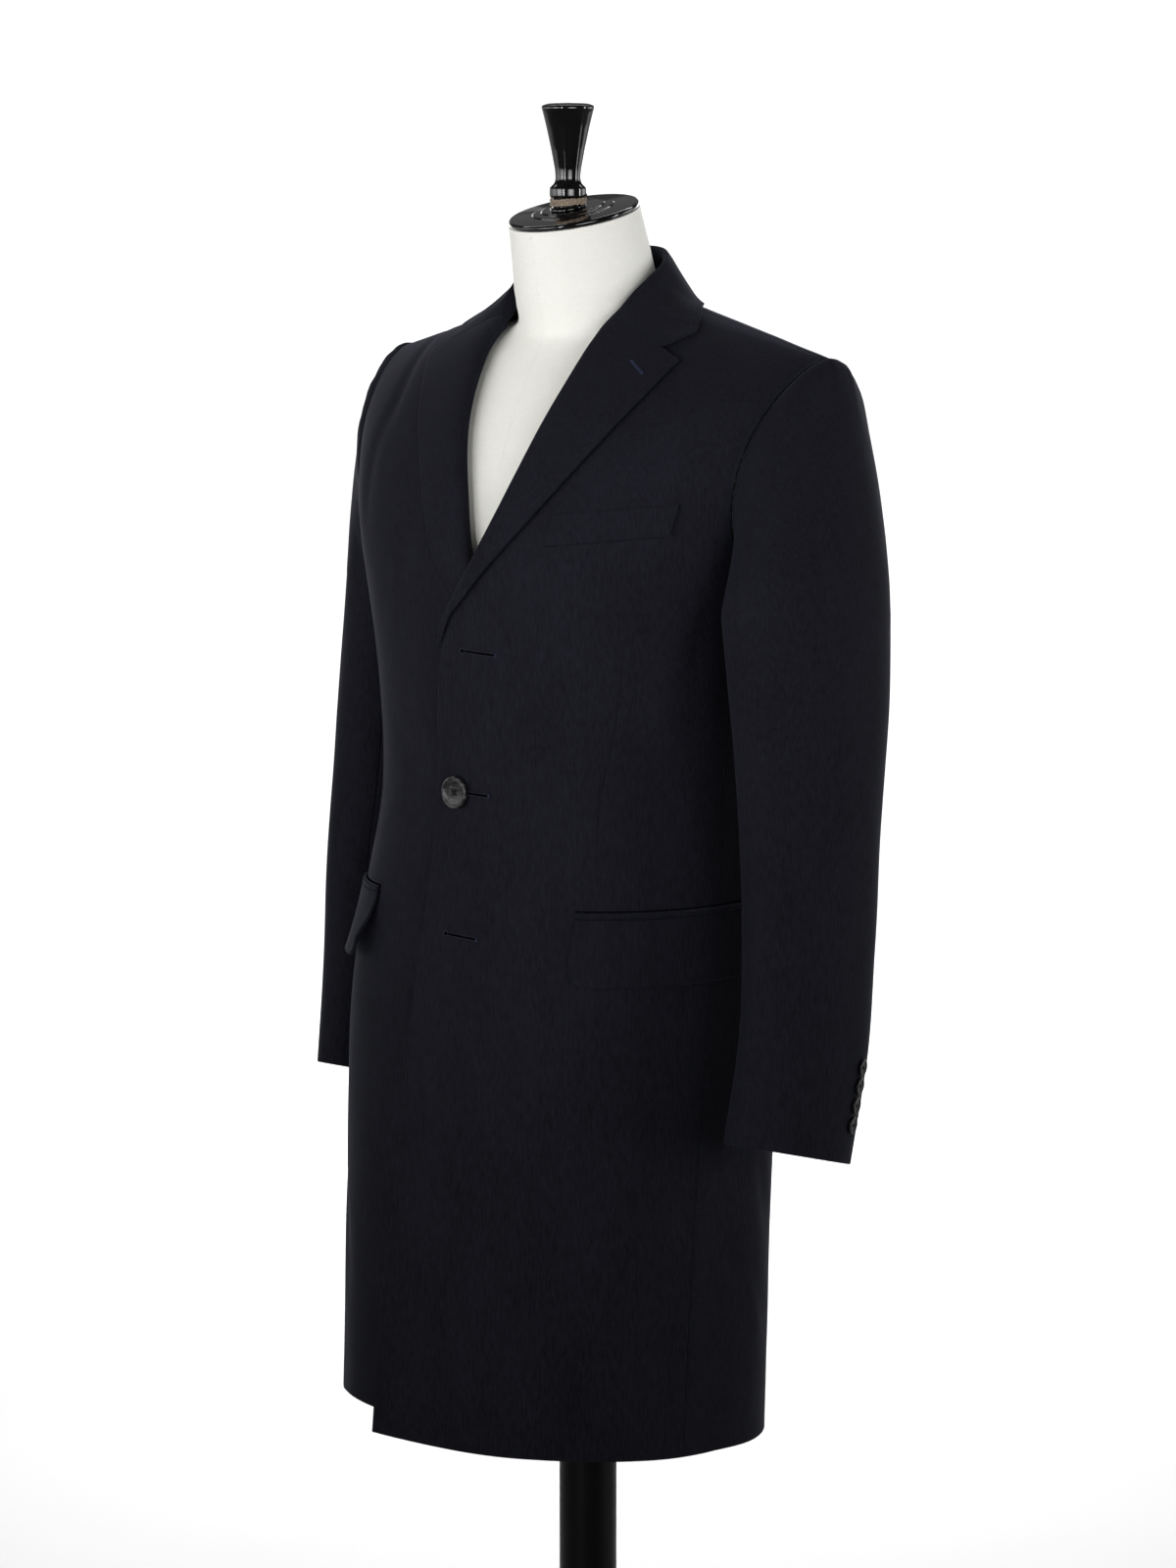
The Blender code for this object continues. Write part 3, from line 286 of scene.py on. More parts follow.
# Half of the collar, from the middle of the back (0) to its front end (7): the foot of the stand on
# the neck side, the top of the fold on the neck side, and the free edge of the fall.
COLLAR_LINES = ("foot", "fold", "edge")
COLLAR = Table(
    ("at", *(f"{name}_{axis}" for name in COLLAR_LINES for axis in "xyz")),
    (
        (0, 0.0000, 0.0745, 1.4940, 0.0000, 0.0620, 1.5430, 0.0000, 0.0920, 1.4935),
        (1, 0.0270, 0.0690, 1.4950, 0.0245, 0.0565, 1.5420, 0.0330, 0.0865, 1.4930),
        (2, 0.0480, 0.0540, 1.4980, 0.0455, 0.0415, 1.5390, 0.0625, 0.0680, 1.4925),
        (3, 0.0630, 0.0330, 1.5030, 0.0610, 0.0225, 1.5320, 0.0865, 0.0440, 1.4925),
        (4, 0.0650, 0.0120, 1.4985, 0.0670, 0.0035, 1.5240, 0.1030, 0.0220, 1.4915),
        (5, 0.0622, -0.0100, 1.4935, 0.0675, -0.0105, 1.5155, 0.1170, 0.0020, 1.4880),
        (6, 0.0607, -0.0240, 1.4885, 0.0645, -0.0245, 1.5050, 0.1245, -0.0120, 1.4820),
        (7, 0.0600, -0.0340, 1.4905, 0.0585, -0.0360, 1.4955, 0.1290, -0.0220, 1.4750),
    ),
)
NOTCH = (0.1060, 1.4685)    # inner corner of the notch: distance from the middle, height
COLLAR_RADIUS = CLOTH + 0.0006
COLLAR_LIFT = 1.9 * CLOTH   # least height of the fall's outer face over the coat
COLLAR_FALL = (0.36, 0.70)  # two lines between the fold and the edge, as shares of the fall's width
COLLAR_NOTCH = 0.06         # how much further out the first of them lies at the front end
SHOULDER_SECTION_Z = 1.47   # the height whose section the shoulders follow
# The fall spreads over the coat, whose middle is aside of the neck's: how far, behind and at the
# notch.
COLLAR_ASIDE = (0.003, 0.008)


def shoulder_face(x, y):
    """The coat's outer face above a point (x from the middle, y) of the chest, shoulder or back."""
    z = SHOULDER_SECTION_Z
    square = float(BODY("square", z))
    share = float(np.clip(abs(x) / BODY("wide", z), 0, 1))
    shape = (1 - share**square) ** (1 / square)
    middle = float(BODY("mid", z))
    ahead = y < middle
    full = FRONT_FULL if ahead else BACK_FULL
    reach = float(BODY("front_l", z)) + middle if ahead else float(BODY("back", z)) - middle
    share = min(abs(y - middle) / (reach * shape), 1.0)
    rise = (1 - share ** full[1]) ** (1 / full[0])
    return CHEST_Z + rise * (float(shoulder_z(x)) - CHEST_Z)


def collar_section(at):
    foot, fold, edge = (
        np.array([float(COLLAR(f"{name}_{axis}", at)) for axis in "xyz"]) for name in COLLAR_LINES
    )
    out = edge - fold
    out[2] = 0
    out = unit(out)
    drop = np.array([0, 0, COLLAR_RADIUS])
    inside = fold - drop
    outside = inside + 2 * COLLAR_RADIUS * out
    crown = fold + COLLAR_RADIUS * out
    front_end = np.clip(at - 6, 0, 1)
    shares = (COLLAR_FALL[0] + COLLAR_NOTCH * front_end, COLLAR_FALL[1])
    low = [outside + (edge - outside) * share for share in shares] + [edge]
    notch_y = float(body_point(front_angle(*NOTCH), np.array(NOTCH[1]), LEFT)[1])
    notch = np.array([NOTCH[0], notch_y, NOTCH[1]])
    low[1] = low[1] + (notch - low[1]) * front_end
    low[0] = low[0] + ((outside + notch) / 2 - low[0]) * front_end
    for point in low:
        face = shoulder_face(point[0], point[1])
        point[2] = max(point[2], face + COLLAR_LIFT)
    middle = np.array([foot[0], *(foot + inside)[1:] / 2])     # the stand starts upright
    return [foot, middle, inside, crown, outside] + low


# Rings of a sleeve below its cap: 1 is the widest ring under the arm and 2 the cuff.
SLEEVE = Table(
    ("at", "z", "x_l", "y_l", "x_r", "y_r", "out", "in_l", "in_r", "deep_l", "deep_r", "tilt"),
    (
        (1.00, 1.256, 0.2620, -0.0345, 0.2415, 0.0500, 0.057, 0.050, 0.0400, 0.084, 0.071, 0.00),
        (1.15, 1.190, 0.2570, -0.0245, 0.2410, 0.0390, 0.056, 0.049, 0.0430, 0.078, 0.068, 0.04),
        (1.40, 1.085, 0.2525, -0.0166, 0.2430, 0.0210, 0.050, 0.046, 0.0440, 0.068, 0.062, 0.10),
        (1.65, 0.990, 0.2500, -0.0135, 0.2430, 0.0090, 0.046, 0.044, 0.0345, 0.064, 0.061, 0.16),
        (1.85, 0.905, 0.2490, -0.0180, 0.2430, 0.0035, 0.045, 0.043, 0.0335, 0.062, 0.061, 0.22),
        (2.00, 0.820, 0.2460, -0.0340, 0.2430, -0.0050, 0.044, 0.043, 0.0285, 0.061, 0.061, 0.26),
    ),
)
# Where the two sleeve seams run, as an angle round the sleeve: 0 outside, 90 degrees in front.
SLEEVE_SEAMS = Table(
    ("at", "fore", "hind"),
    ((0.0, 122, -78), (1.0, 124, -72), (1.5, 127, -56), (2.0, 130, -36)),
)
SLEEVE_CLEAR = 0.005        # share by which the sleeve head is smaller than the armhole
SLEEVE_OFF = 0.0005         # how far its edge stands out from the armhole
# How the cap leaves the armhole, rising and outwards, and how it arrives, as shares of the way.
CAP_LIFT = 0.20
CAP_OUT = 0.24
CAP_LEDGE = 0.006           # the least that it goes outwards
CAP_FALL = 0.55


def sleeve_ring(turn, at, side):
    key = key_of(side)
    half = np.where(np.cos(turn) > 0, SLEEVE("out", at), SLEEVE("in" + key, at))
    x = SLEEVE("x" + key, at) + half * np.cos(turn)
    ahead = SLEEVE("deep" + key, at) * np.sin(turn)
    z = SLEEVE("z", at) + SLEEVE("tilt", at) * ahead
    return np.stack([side * x, SLEEVE("y" + key, at) - ahead, z], axis=-1)


def armhole_ring(turn, side):
    turn = np.mod(turn, 2 * math.pi)
    behind = turn > math.pi
    angle, z = armhole(np.where(behind, 2 * math.pi - turn, turn))
    ring = body_point(np.where(behind, math.pi - angle, angle), z, side)
    middle_z = (float(armhole(np.array(0.0))[1]) + ARMPIT_Z) / 2
    middle = np.array([0, float(BODY("mid", middle_z)), middle_z])
    clear = (middle - ring) * np.array([0, 1, 1]) * SLEEVE_CLEAR
    clear[..., 0] = side * SLEEVE_OFF
    return ring + clear


def sleeve_point(turn, at, side):
    """A point of a sleeve's outer face; at is 0 on the armhole, 1 under the arm, 2 on the cuff."""
    below = sleeve_ring(turn, np.maximum(at, 1.0), side)
    start = armhole_ring(turn, side)
    end = sleeve_ring(turn, 1.0 + 0 * at, side)
    far = np.linalg.norm(end - start, axis=-1)[..., None]
    lift = CAP_LIFT * np.clip(np.cos(turn), 0, 1)[..., None]
    leave = np.array([side, 0, 0]) * (CAP_OUT * far + CAP_LEDGE) + np.array([0, 0, 1]) * lift * far
    arrive = np.array([0, 0, -1]) * far * CAP_FALL
    t = np.clip(at, 0, 1)[..., None]
    cap = hermite(t, start, end, leave, arrive)
    return np.where(np.asarray(at)[..., None] < 1, cap, below)


def sleeve_normal(turn, at, side):
    small = 0.01
    lower, higher = np.clip(at - small, 0, 2), np.clip(at + small, 0, 2)
    round_it = sleeve_point(turn + small, at, side) - sleeve_point(turn - small, at, side)
    down = sleeve_point(turn, higher, side) - sleeve_point(turn, lower, side)
    return unit(side * np.cross(round_it, down))


POCKET_Z = 1.0145           # top of the jet
JET_HIGH = 0.0055
FLAP_HIGH = 0.055
POCKET = {LEFT: np.radians((41, 97)), RIGHT: np.radians((33, 89))}    # its front and hind end
FLAP_CORNER = 0.018
# How far a flap's lower edge stands off in front and behind.
FLAP_STAND = {LEFT: (0.0014, 0.0014), RIGHT: (0.0150, 0.0015)}
FLAP_FLARED = 0.45          # the share of a flap's width over which the front's flare dies out
LAID = 0.0009               # clearance under a piece that lies on the panels
WELT_LOW = ((0.081, 1.308), (0.176, 1.319))   # ends of the chest welt's lower edge: x and height
WELT_HIGH = 0.0255
WELT_LEAN = 0.004           # how far its ends lean outwards
WELT_STAND = 0.0008         # how far its upper edge stands off
# Across a jet, from its lower edge up: a share of its width, and its height in walls.
JET_SECTION = ((0.0, 1.0), (0.5, 1.15), (1.0, 0.9))
FRONT_BUTTON = 0.0135       # radius
CUFF_BUTTON = 0.0072
FRONT_BUTTON_Z = 1.1045
FRONT_BUTTON_LIFT = 0.0012  # the shank of thread
CUFF_BUTTON_LIFT = 0.0006
CUFF_BUTTONS = 4
CUFF_BUTTON_TURN = -22      # degrees round the sleeve at the cuff, just ahead of the hind seam
CUFF_BUTTON_SLANT = 18      # degrees that their line turns back for each ring
CUFF_BUTTON_STEP = 0.0152
CUFF_BUTTON_FIRST = 0.030   # above the cuff
FORM_CLEAR = 0.0125         # from the coat's outer face to the form
FORM_FOOT_Z = 0.860
FORM_WIDEST = 0.200         # half its width at the shoulders, well inside the armholes
FORM_SIDES = 28
FORM_CHEST_Z = 1.380        # its rings are even up to here, and close together above
FORM_CHEST_RINGS = 10
FORM_HIGH_Z = (1.410, 1.435, 1.455, 1.470, 1.483, 1.494)
BLEND = 14                  # how sharply the neck grows out of the shoulders
NECK_FROM = (1.40, 0.06)    # where the neck starts to show in the shoulders, and over what height
NECK_RINGS = (0.12, 0.4, 0.7, 1.0)            # shares of the way up to the cap
NECK_TURNED = 0.4           # by this share of the way its rings lean with the neck
NECK_RADIUS = (0.0600, 0.0545)                # at the foot of the neck and under the cap
NECK_LEAN = math.radians(14)
NECK_FOOT = (0.0, 0.000, 1.500)
CAP_ALONG = 0.0700          # from the foot of the neck to the cap, along its leaning axis
POLE_RADIUS = 0.0243
BASE_RADIUS = 0.190
BASE_HIGH = 0.012
BASE_EDGE = 0.002


def neck_axis(along):
    return np.array(NECK_FOOT) + along * np.array([0, -math.sin(NECK_LEAN), math.cos(NECK_LEAN)])


def inside_form(x, y, z):
    """Whether a point (x from the coat's middle) lies in the form's body."""
    half = min(float(BODY("wide", z)) - 0.9 * FORM_CLEAR, FORM_WIDEST)
    top = float(shoulder_z(x)) - FORM_CLEAR
    if abs(x) >= half or z >= top:
        return False
    square = float(BODY("square", z))
    shape = (1 - (abs(x) / half) ** square) ** (1 / square)
    middle = float(BODY("mid", z))
    rise = max((z - CHEST_Z) / (top - CHEST_Z), 0)
    if y < middle:
        reach = (float(BODY("front_r", z)) + middle - FORM_CLEAR) * shape
        return middle - y < reach * (1 - rise ** FRONT_FULL[0]) ** (1 / FRONT_FULL[1])
    reach = (float(BODY("back", z)) - middle - FORM_CLEAR) * shape
    return y - middle < reach * (1 - rise ** BACK_FULL[0]) ** (1 / BACK_FULL[1])


def form_radius(turn, z, centre):
    """How far the body reaches from the centre of a section, in one direction."""
    near, far = 0.0, 0.30
    for _ in range(22):
        middle = (near + far) / 2
        x, y = centre[0] + middle * math.cos(turn), centre[1] + middle * math.sin(turn)
        if inside_form(x, y, z):
            near = middle
        else:
            far = middle
    return near


def form_turns():
    return [2 * math.pi * step / FORM_SIDES for step in range(FORM_SIDES)]


def form_body_ring(z):
    """A level ring of the form's body, out of which the neck grows near the shoulders."""
    centre = np.array([0.0, 0.9 * float(BODY("mid", z))])
    neck = neck_axis((z - NECK_FOOT[2]) / math.cos(NECK_LEAN))
    offset = neck[:2] - centre
    use = float(np.clip((z - NECK_FROM[0]) / NECK_FROM[1], 0, 1))
    aside = float(BODY("shift", z)) * (1 - use)
    ring = []
    for turn in form_turns():
        body = form_radius(turn, z, centre)
        spoke = np.array([math.cos(turn), math.sin(turn)])
        along = float(offset @ spoke)
        across = float(offset @ offset) - along**2
        reach = along + math.sqrt(max(NECK_RADIUS[0] ** 2 - across, 0.0))
        radius = (body**BLEND + (use * max(reach, 0.0)) ** BLEND) ** (1 / BLEND)
        ring.append((centre[0] + aside + radius * spoke[0], centre[1] + radius * spoke[1], z))
    return ring


def form_neck_ring(share):
    middle = neck_axis(CAP_ALONG * share)
    radius = NECK_RADIUS[0] + (NECK_RADIUS[1] - NECK_RADIUS[0]) * share
    lean = NECK_LEAN * min(1.0, share / NECK_TURNED)
    tilted = np.array([0, math.cos(lean), math.sin(lean)])
    level = np.array([1.0, 0, 0])
    return [
        tuple(middle + radius * (math.cos(turn) * level + math.sin(turn) * tilted))
        for turn in form_turns()
    ]


# Profiles of the turned pieces: (radius, height over their own foot).
CAP_PROFILE = (
    (0, 0), (0.0535, 0), (0.0548, 0.0014), (0.0548, 0.0034), (0.0530, 0.0046), (0.0345, 0.0050),
    (0.0335, 0.0060), (0.0268, 0.0063), (0.0258, 0.0074), (0, 0.0074),
)
FINIAL_PROFILE = (
    (0, 0), (0.0148, 0), (0.0148, 0.0018), (0.0125, 0.0018), (0.0125, 0.0092), (0.0155, 0.0092),
    (0.0158, 0.0102), (0.0158, 0.0160), (0.0148, 0.0172), (0.0118, 0.0200), (0.0107, 0.0240),
    (0.0112, 0.0310), (0.0145, 0.0480), (0.0188, 0.0670), (0.0219, 0.0790), (0.0227, 0.0812),
    (0.0221, 0.0832), (0.0165, 0.0850), (0, 0.0860),
)
SLOPE_HIGH = 0.0092         # the finial's foot leans with the cap and is upright above this
FINIAL_Y = -0.0245


# ================================================================ meshes of the visible pieces
pole_low, pole_high = (np.array(corner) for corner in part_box("pole"))
MOVE = np.array([*((pole_low + pole_high) / 2)[:2], 0.0])     # the pole's axis


def new_mesh(name, points, faces):
    mesh = bpy.data.meshes.new(name)
    mesh.from_pydata(np.asarray(points, float).tolist(), [], [tuple(face) for face in faces])
    return mesh


def new_object(name, data):
    thing = bpy.data.objects.new(name, data)
    bpy.context.scene.collection.objects.link(thing)
    return thing


def add_mesh(name, points, faces, finish, slot="wool", nodes=(), sharp=None):
    """A piece of the object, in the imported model's frame, that stands for the named CAD nodes."""
    mesh = new_mesh(name, np.asarray(points, float) + MOVE, faces)
    mesh.materials.append(finish)
    mesh.shade_smooth()
    if sharp:
        mesh.set_sharp_from_angle(angle=math.radians(sharp))
    piece = new_object(name, mesh)
    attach(piece, "root")
    if nodes:
        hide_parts(*nodes)
    return piece


def signed_volume(points, faces):
    faces = np.array([(f[0], f[i], f[i + 1]) for f in faces for i in range(1, len(f) - 1)])
    corners = points[faces]
    return float(np.einsum("ij,ij->i", corners[:, 0], np.cross(corners[:, 1], corners[:, 2])).sum())


def turned_out(points, faces):
    """The faces of a closed solid, turned outwards."""
    return [face[::-1] for face in faces] if signed_volume(points, faces) < 0 else faces


def quads(index):
    """Faces of a grid of point numbers."""
    return np.stack(
        [index[:-1, :-1], index[:-1, 1:], index[1:, 1:], index[1:, :-1]], axis=-1
    ).reshape(-1, 4)


# The rounding of an edge: a share of its radius in from the edge, and of half the wall down.
ROUND = ((0.0, 1.0), (0.134, 0.5), (0.5, 0.134), (1.0, 0.0))
FREE = (0.0013, 0.0)            # radius and gap of a turned edge
SEWN = (0.0010, -0.00005)       # and of an edge that is sewn to another piece, which it meets
SET_IN = (0.0004, 0.0)          # and of a sleeve's edge along the armhole
THIN = ((0.0001, 0.0),) * 4     # and of all four edges of a dark painted-shadow line


def round_rows(field, first, last):
    """Adds rows beside the first and the last row of a field of (point, normal, drop)."""

    def edge(border, inside, radius, gap):
        length = np.linalg.norm(inside[:, :3] - border[:, :3], axis=-1)[:, None]
        rows = []
        for share, down in ROUND:
            row = border + (inside - border) * (gap + share * radius) / length
            row[:, 6] = 1 - (1 - row[:, 6]) * (1 - down)
            rows.append(row)
        return rows

    rows = list(field)
    rows = edge(rows[0], rows[1], *first) + rows[1:]
    return np.array(rows[:-1] + edge(rows[-1], rows[-2], *last)[::-1])


def cloth_arrays(points, normals, left, right, bottom, top, wall=CLOTH):
    """Points and faces of a closed wall of cloth with rounded edges."""
    field = np.concatenate([points, unit(normals), np.zeros(points.shape[:2] + (1,))], axis=-1)
    field = round_rows(field, bottom, top)
    field = round_rows(field.transpose(1, 0, 2), left, right).transpose(1, 0, 2)
    place, normal, drop = field[..., :3], unit(field[..., 3:6]), field[..., 6:] * wall / 2
    outer = place - drop * normal
    inner = place - (wall - drop) * normal
    rows, columns = place.shape[:2]
    face_out = np.arange(rows * columns).reshape(rows, columns)
    face_in = face_out.copy()
    inside = (rows - 2) * (columns - 2)
    face_in[1:-1, 1:-1] = (rows * columns + np.arange(inside)).reshape(rows - 2, columns - 2)
    faces = np.concatenate([quads(face_out), quads(face_in)[:, ::-1]])
    all_points = np.concatenate([outer.reshape(-1, 3), inner[1:-1, 1:-1].reshape(-1, 3)])
    return all_points, turned_out(all_points, faces)


def cloth(name, points, normals, edges, nodes):
    """A piece of wool; the edges are left, right, bottom and top."""
    return add_mesh(name, *cloth_arrays(points, normals, *edges), WOOL, "wool", nodes)


def refine(grid, times):
    """A smooth curve through the rows of a grid, with that many steps between two of them."""
    if times == 1:
        return grid
    ends = (2 * grid[:1] - grid[1:2], 2 * grid[-1:] - grid[-2:-1])
    wide = np.concatenate([ends[0], grid, ends[1]])
    rows = []
    for i in range(1, len(wide) - 2):
        a, b, c, d = wide[i - 1], wide[i], wide[i + 1], wide[i + 2]
        for step in range(times):
            t = step / times
            bend = (2 * a - 5 * b + 4 * c - d) * t**2 + (3 * b - a - 3 * c + d) * t**3
            rows.append(b + (c - a) * t / 2 + bend / 2)
    rows.append(grid[-1])
    return np.array(rows)


def grid_normals(grid, turn=1.0):
    across, up = np.gradient(grid, axis=1), np.gradient(grid, axis=0)
    return turn * unit(np.cross(across, up))


def cut_size(points):
    """Width, length and area of a grid of points, as a maker would cut it flat."""
    across = np.linalg.norm(np.diff(points, axis=1), axis=-1)
    up = np.linalg.norm(np.diff(points, axis=0), axis=-1)
    width = float(across.sum(axis=1).max())
    length = float(up.sum(axis=0).max())
    a, b = points[1:, 1:] - points[:-1, :-1], points[1:, :-1] - points[:-1, 1:]
    return width, length, float(np.linalg.norm(np.cross(a, b), axis=-1).sum() / 2)


# ================================================================ materials
class Finish:
    """A material whose nodes are added one by one, each with its inputs by name."""

    def __init__(self, name, **constants):
        self.material = bpy.data.materials.new(name)
        self.material.use_nodes = True
        self.tree = self.material.node_tree
        self.shader = self.tree.nodes["Principled BSDF"]
        for key, value in constants.items():
            self.shader.inputs[key.replace("_", " ")].default_value = value
        self.place = self.add("ShaderNodeTexCoord").outputs["Object"]

    def add(self, kind, inputs=(), **settings):
        node = self.tree.nodes.new(kind)
        for key, value in settings.items():
            setattr(node, key, value)
        for key, value in dict(inputs).items():
            if isinstance(value, bpy.types.NodeSocket):
                self.tree.links.new(value, node.inputs[key])
            else:
                node.inputs[key].default_value = value
        return node

    def noise(self, scale, detail=2.0, stretch=(1, 1, 1), roughness=0.5, distortion=0.0):
        place = self.place
        if stretch != (1, 1, 1):
            place = self.add("ShaderNodeMapping", {"Vector": place, "Scale": stretch}).outputs[0]
        values = {"Vector": place, "Scale": scale, "Detail": detail, "Roughness": roughness,
                  "Distortion": distortion}
        return self.add("ShaderNodeTexNoise", values).outputs["Fac"]

    def ramp(self, value, stops):
        node = self.add("ShaderNodeValToRGB", {"Fac": value})
        elements = node.color_ramp.elements
        while len(elements) < len(stops):
            elements.new(0.5)
        for element, (place, colour) in zip(elements, stops):
            element.position = place
            element.color = (*colour, 1.0)
        return node.outputs["Color"]

    def math(self, operation, *values):
        return self.add("ShaderNodeMath", dict(enumerate(values)), operation=operation).outputs[0]

    def multiplied(self, a, b):
        inputs = {"Fac": 1.0, "Color1": a, "Color2": b}
        return self.add("ShaderNodeMixRGB", inputs, blend_type="MULTIPLY").outputs[0]

    def bump(self, height, distance, strength, before=None):
        inputs = {"Height": height, "Distance": distance, "Strength": strength}
        if before is not None:
            inputs["Normal"] = before
        return self.add("ShaderNodeBump", inputs).outputs["Normal"]

    def done(self, colour=None, normal=None, roughness=None):
        for key, value in (("Base Color", colour), ("Normal", normal), ("Roughness", roughness)):
            if value is not None:
                self.tree.links.new(value, self.shader.inputs[key])
        return self.material


def wool_finish(name, dark, light):
    """Brushed coating cloth: short vertical nap, a soft mottle and a dull sheen."""
    made = Finish(name, Roughness=0.85, Specular_IOR_Level=0.06, Sheen_Weight=0.08,
                  Sheen_Roughness=0.32, Sheen_Tint=(0.50, 0.53, 0.74, 1.0))
    streak = made.noise(1.0, 3.0, (640, 640, 100), 0.65)
    fine = made.noise(2300, 1.0)
    mottle = made.noise(26, 3.0, (1, 1, 0.35))
    share = made.math("MULTIPLY_ADD", mottle, 0.22, 0.08)
    share = made.math("ADD", made.math("MULTIPLY", streak, 0.80), share)
    colour = made.ramp(share, ((0.36, dark), (0.80, light)))
    normal = made.bump(streak, 0.0003, 0.20)
    normal = made.bump(fine, 0.0002, 0.25, normal)
    return made.done(colour, normal)


def thread_finish(name, dark, light, roughness):
    made = Finish(name, Roughness=roughness, Specular_IOR_Level=0.15, Sheen_Weight=0.05)
    strand = made.noise(1600, 1.0)
    colour = made.ramp(strand, ((0.35, dark), (0.65, light)))
    return made.done(colour, made.bump(strand, 0.0002, 0.5))


def painted_shade_finish():
    """Painted shade: the near-black colour laid over the shaded inside of a buttonhole or a
    pocket's seam.
    """
    made = Finish("slit_shadow", Roughness=1.0, Specular_IOR_Level=0.0)
    stops = ((0.3, (0.0003, 0.0003, 0.0004)), (0.7, (0.0009, 0.0009, 0.0012)))
    return made.done(made.ramp(made.noise(900), stops))


def horn_finish(name, shade):
    """Clouded and veined horn, polished less and darker as its shade is lower; a low shade makes a
    copy of the same horn with painted shade.
    """
    gloss = 0.35 * shade
    made = Finish(name, Specular_IOR_Level=gloss, Coat_Weight=gloss, Coat_Roughness=0.12)
    cloud = made.noise(170, 3.0, (1, 1, 1), 0.55, 1.2)
    vein = made.noise(60, 2.0, (1, 1, 5), 0.5, 2.0)
    share = made.math("ADD", made.math("MULTIPLY", cloud, 0.6), made.math("MULTIPLY", vein, 0.4))
    greys = (
        (0.40, (0.006, 0.006, 0.007)), (0.52, (0.026, 0.025, 0.027)), (0.66, (0.095, 0.095, 0.100)),
    )
    colour = made.ramp(share, [(at, tuple(shade * part for part in grey)) for at, grey in greys])
    rough = made.math("MULTIPLY_ADD", cloud, 0.2, 0.24)
    return made.done(colour, made.bump(made.noise(900, 2.0), 0.00006, 0.3), rough)


def cream_finish():
    """The form's cover: a close plain-woven cotton, drawn tight."""
    made = Finish("cream_cover", Specular_IOR_Level=0.25, Sheen_Weight=0.12, Sheen_Roughness=0.5)
    warp = made.noise(1.0, 1.0, (1500, 1500, 160))
    weft = made.noise(1.0, 1.0, (170, 170, 1500))
    weave = made.math("ADD", warp, weft)
    soil = made.noise(7, 4.0)
    base = made.ramp(soil, ((0.30, (0.735, 0.725, 0.680)), (0.70, (0.800, 0.795, 0.755))))
    shades = ((0.3, (0.93, 0.93, 0.92)), (0.7, (1, 1, 1)))
    thread = made.ramp(made.math("MULTIPLY", weave, 0.5), shades)
    colour = made.multiplied(base, thread)
    rough = made.math("MULTIPLY_ADD", soil, 0.15, 0.7)
    return made.done(colour, made.bump(weave, 0.0003, 0.35), rough)


def black_finish(name, wear_noise, greys, rough, bump, **constants):
    """Worn black paint or lacquer: its wear, its darkest and lightest grey, roughness and bump."""
    made = Finish(name, **constants)
    wear = made.noise(*wear_noise)
    colour = made.ramp(wear, tuple(zip((0.3, 0.8), greys)))
    scale, distance, strength = bump
    normal = made.bump(made.noise(scale, 2.0), distance, strength)
    return made.done(colour, normal, made.math("MULTIPLY_ADD", wear, *rough))


def jute_finish():
    made = Finish("jute_cord", Roughness=0.9, Specular_IOR_Level=0.2, Sheen_Weight=0.25)
    strand = made.noise(900, 3.0, (1, 1, 1.8), 0.6, 0.6)
    colour = made.ramp(strand, ((0.30, (0.085, 0.058, 0.036)), (0.52, (0.22, 0.165, 0.115)),
                                (0.75, (0.40, 0.33, 0.25))))
    return made.done(colour, made.bump(strand, 0.0006, 0.8))


WOOL = wool_finish("navy_wool", (0.0036, 0.0038, 0.0058), (0.0114, 0.0119, 0.0178))
THREAD = thread_finish("navy_thread", (0.008, 0.010, 0.024), (0.019, 0.025, 0.054), 0.8)
PICK = thread_finish("wool_thread", (0.0042, 0.0044, 0.0062), (0.0100, 0.0104, 0.0148), 0.85)
PURL = thread_finish("purl_thread", (0.010, 0.010, 0.018), (0.018, 0.018, 0.030), 0.8)
# Painted shade for the slits and the jets' seams, not a cloth or thread of the coat.
PAINTED_SHADE = painted_shade_finish()
HORN = horn_finish("horn", 0.62)
# The cuff buttons' horn: the same horn, its colour darkened as painted shade, and polished less.
SHADED_HORN = horn_finish("dark_horn", 0.30)
CREAM = cream_finish()
LACQUER = black_finish(
    "black_lacquer",
    wear_noise=(38, 4.0, (1, 1, 0.5), 0.6),
    greys=((0.0012, 0.0012, 0.0014), (0.0040, 0.0040, 0.0045)),
    rough=(0.16, 0.04),
    bump=(55, 0.0004, 0.12),
    Specular_IOR_Level=0.25, Coat_Weight=0.7, Coat_Roughness=0.03,
)
SATIN = black_finish(
    "satin_black",
    wear_noise=(30, 3.0, (1, 1, 0.4), 0.6),
    greys=((0.0008, 0.0008, 0.0009), (0.0020, 0.0020, 0.0022)),
    rough=(0.15, 0.38),
    bump=(700, 0.00005, 0.2),
    Specular_IOR_Level=0.12,
)
JUTE = jute_finish()


# ================================================================ drape of the coat body
FINE = 11                   # steps between two rows of the solids
FINE_ACROSS = 7             # and between two of their columns
FLAT_RADIUS = 0.175         # turns an angle round the body into a distance
HEM_CALM = 0.6              # the share of the drape that is left at the turned-up hem
HEM_TURNED = 0.03
FLUTE_FADE = 1.4            # how fast a flute dies out upwards

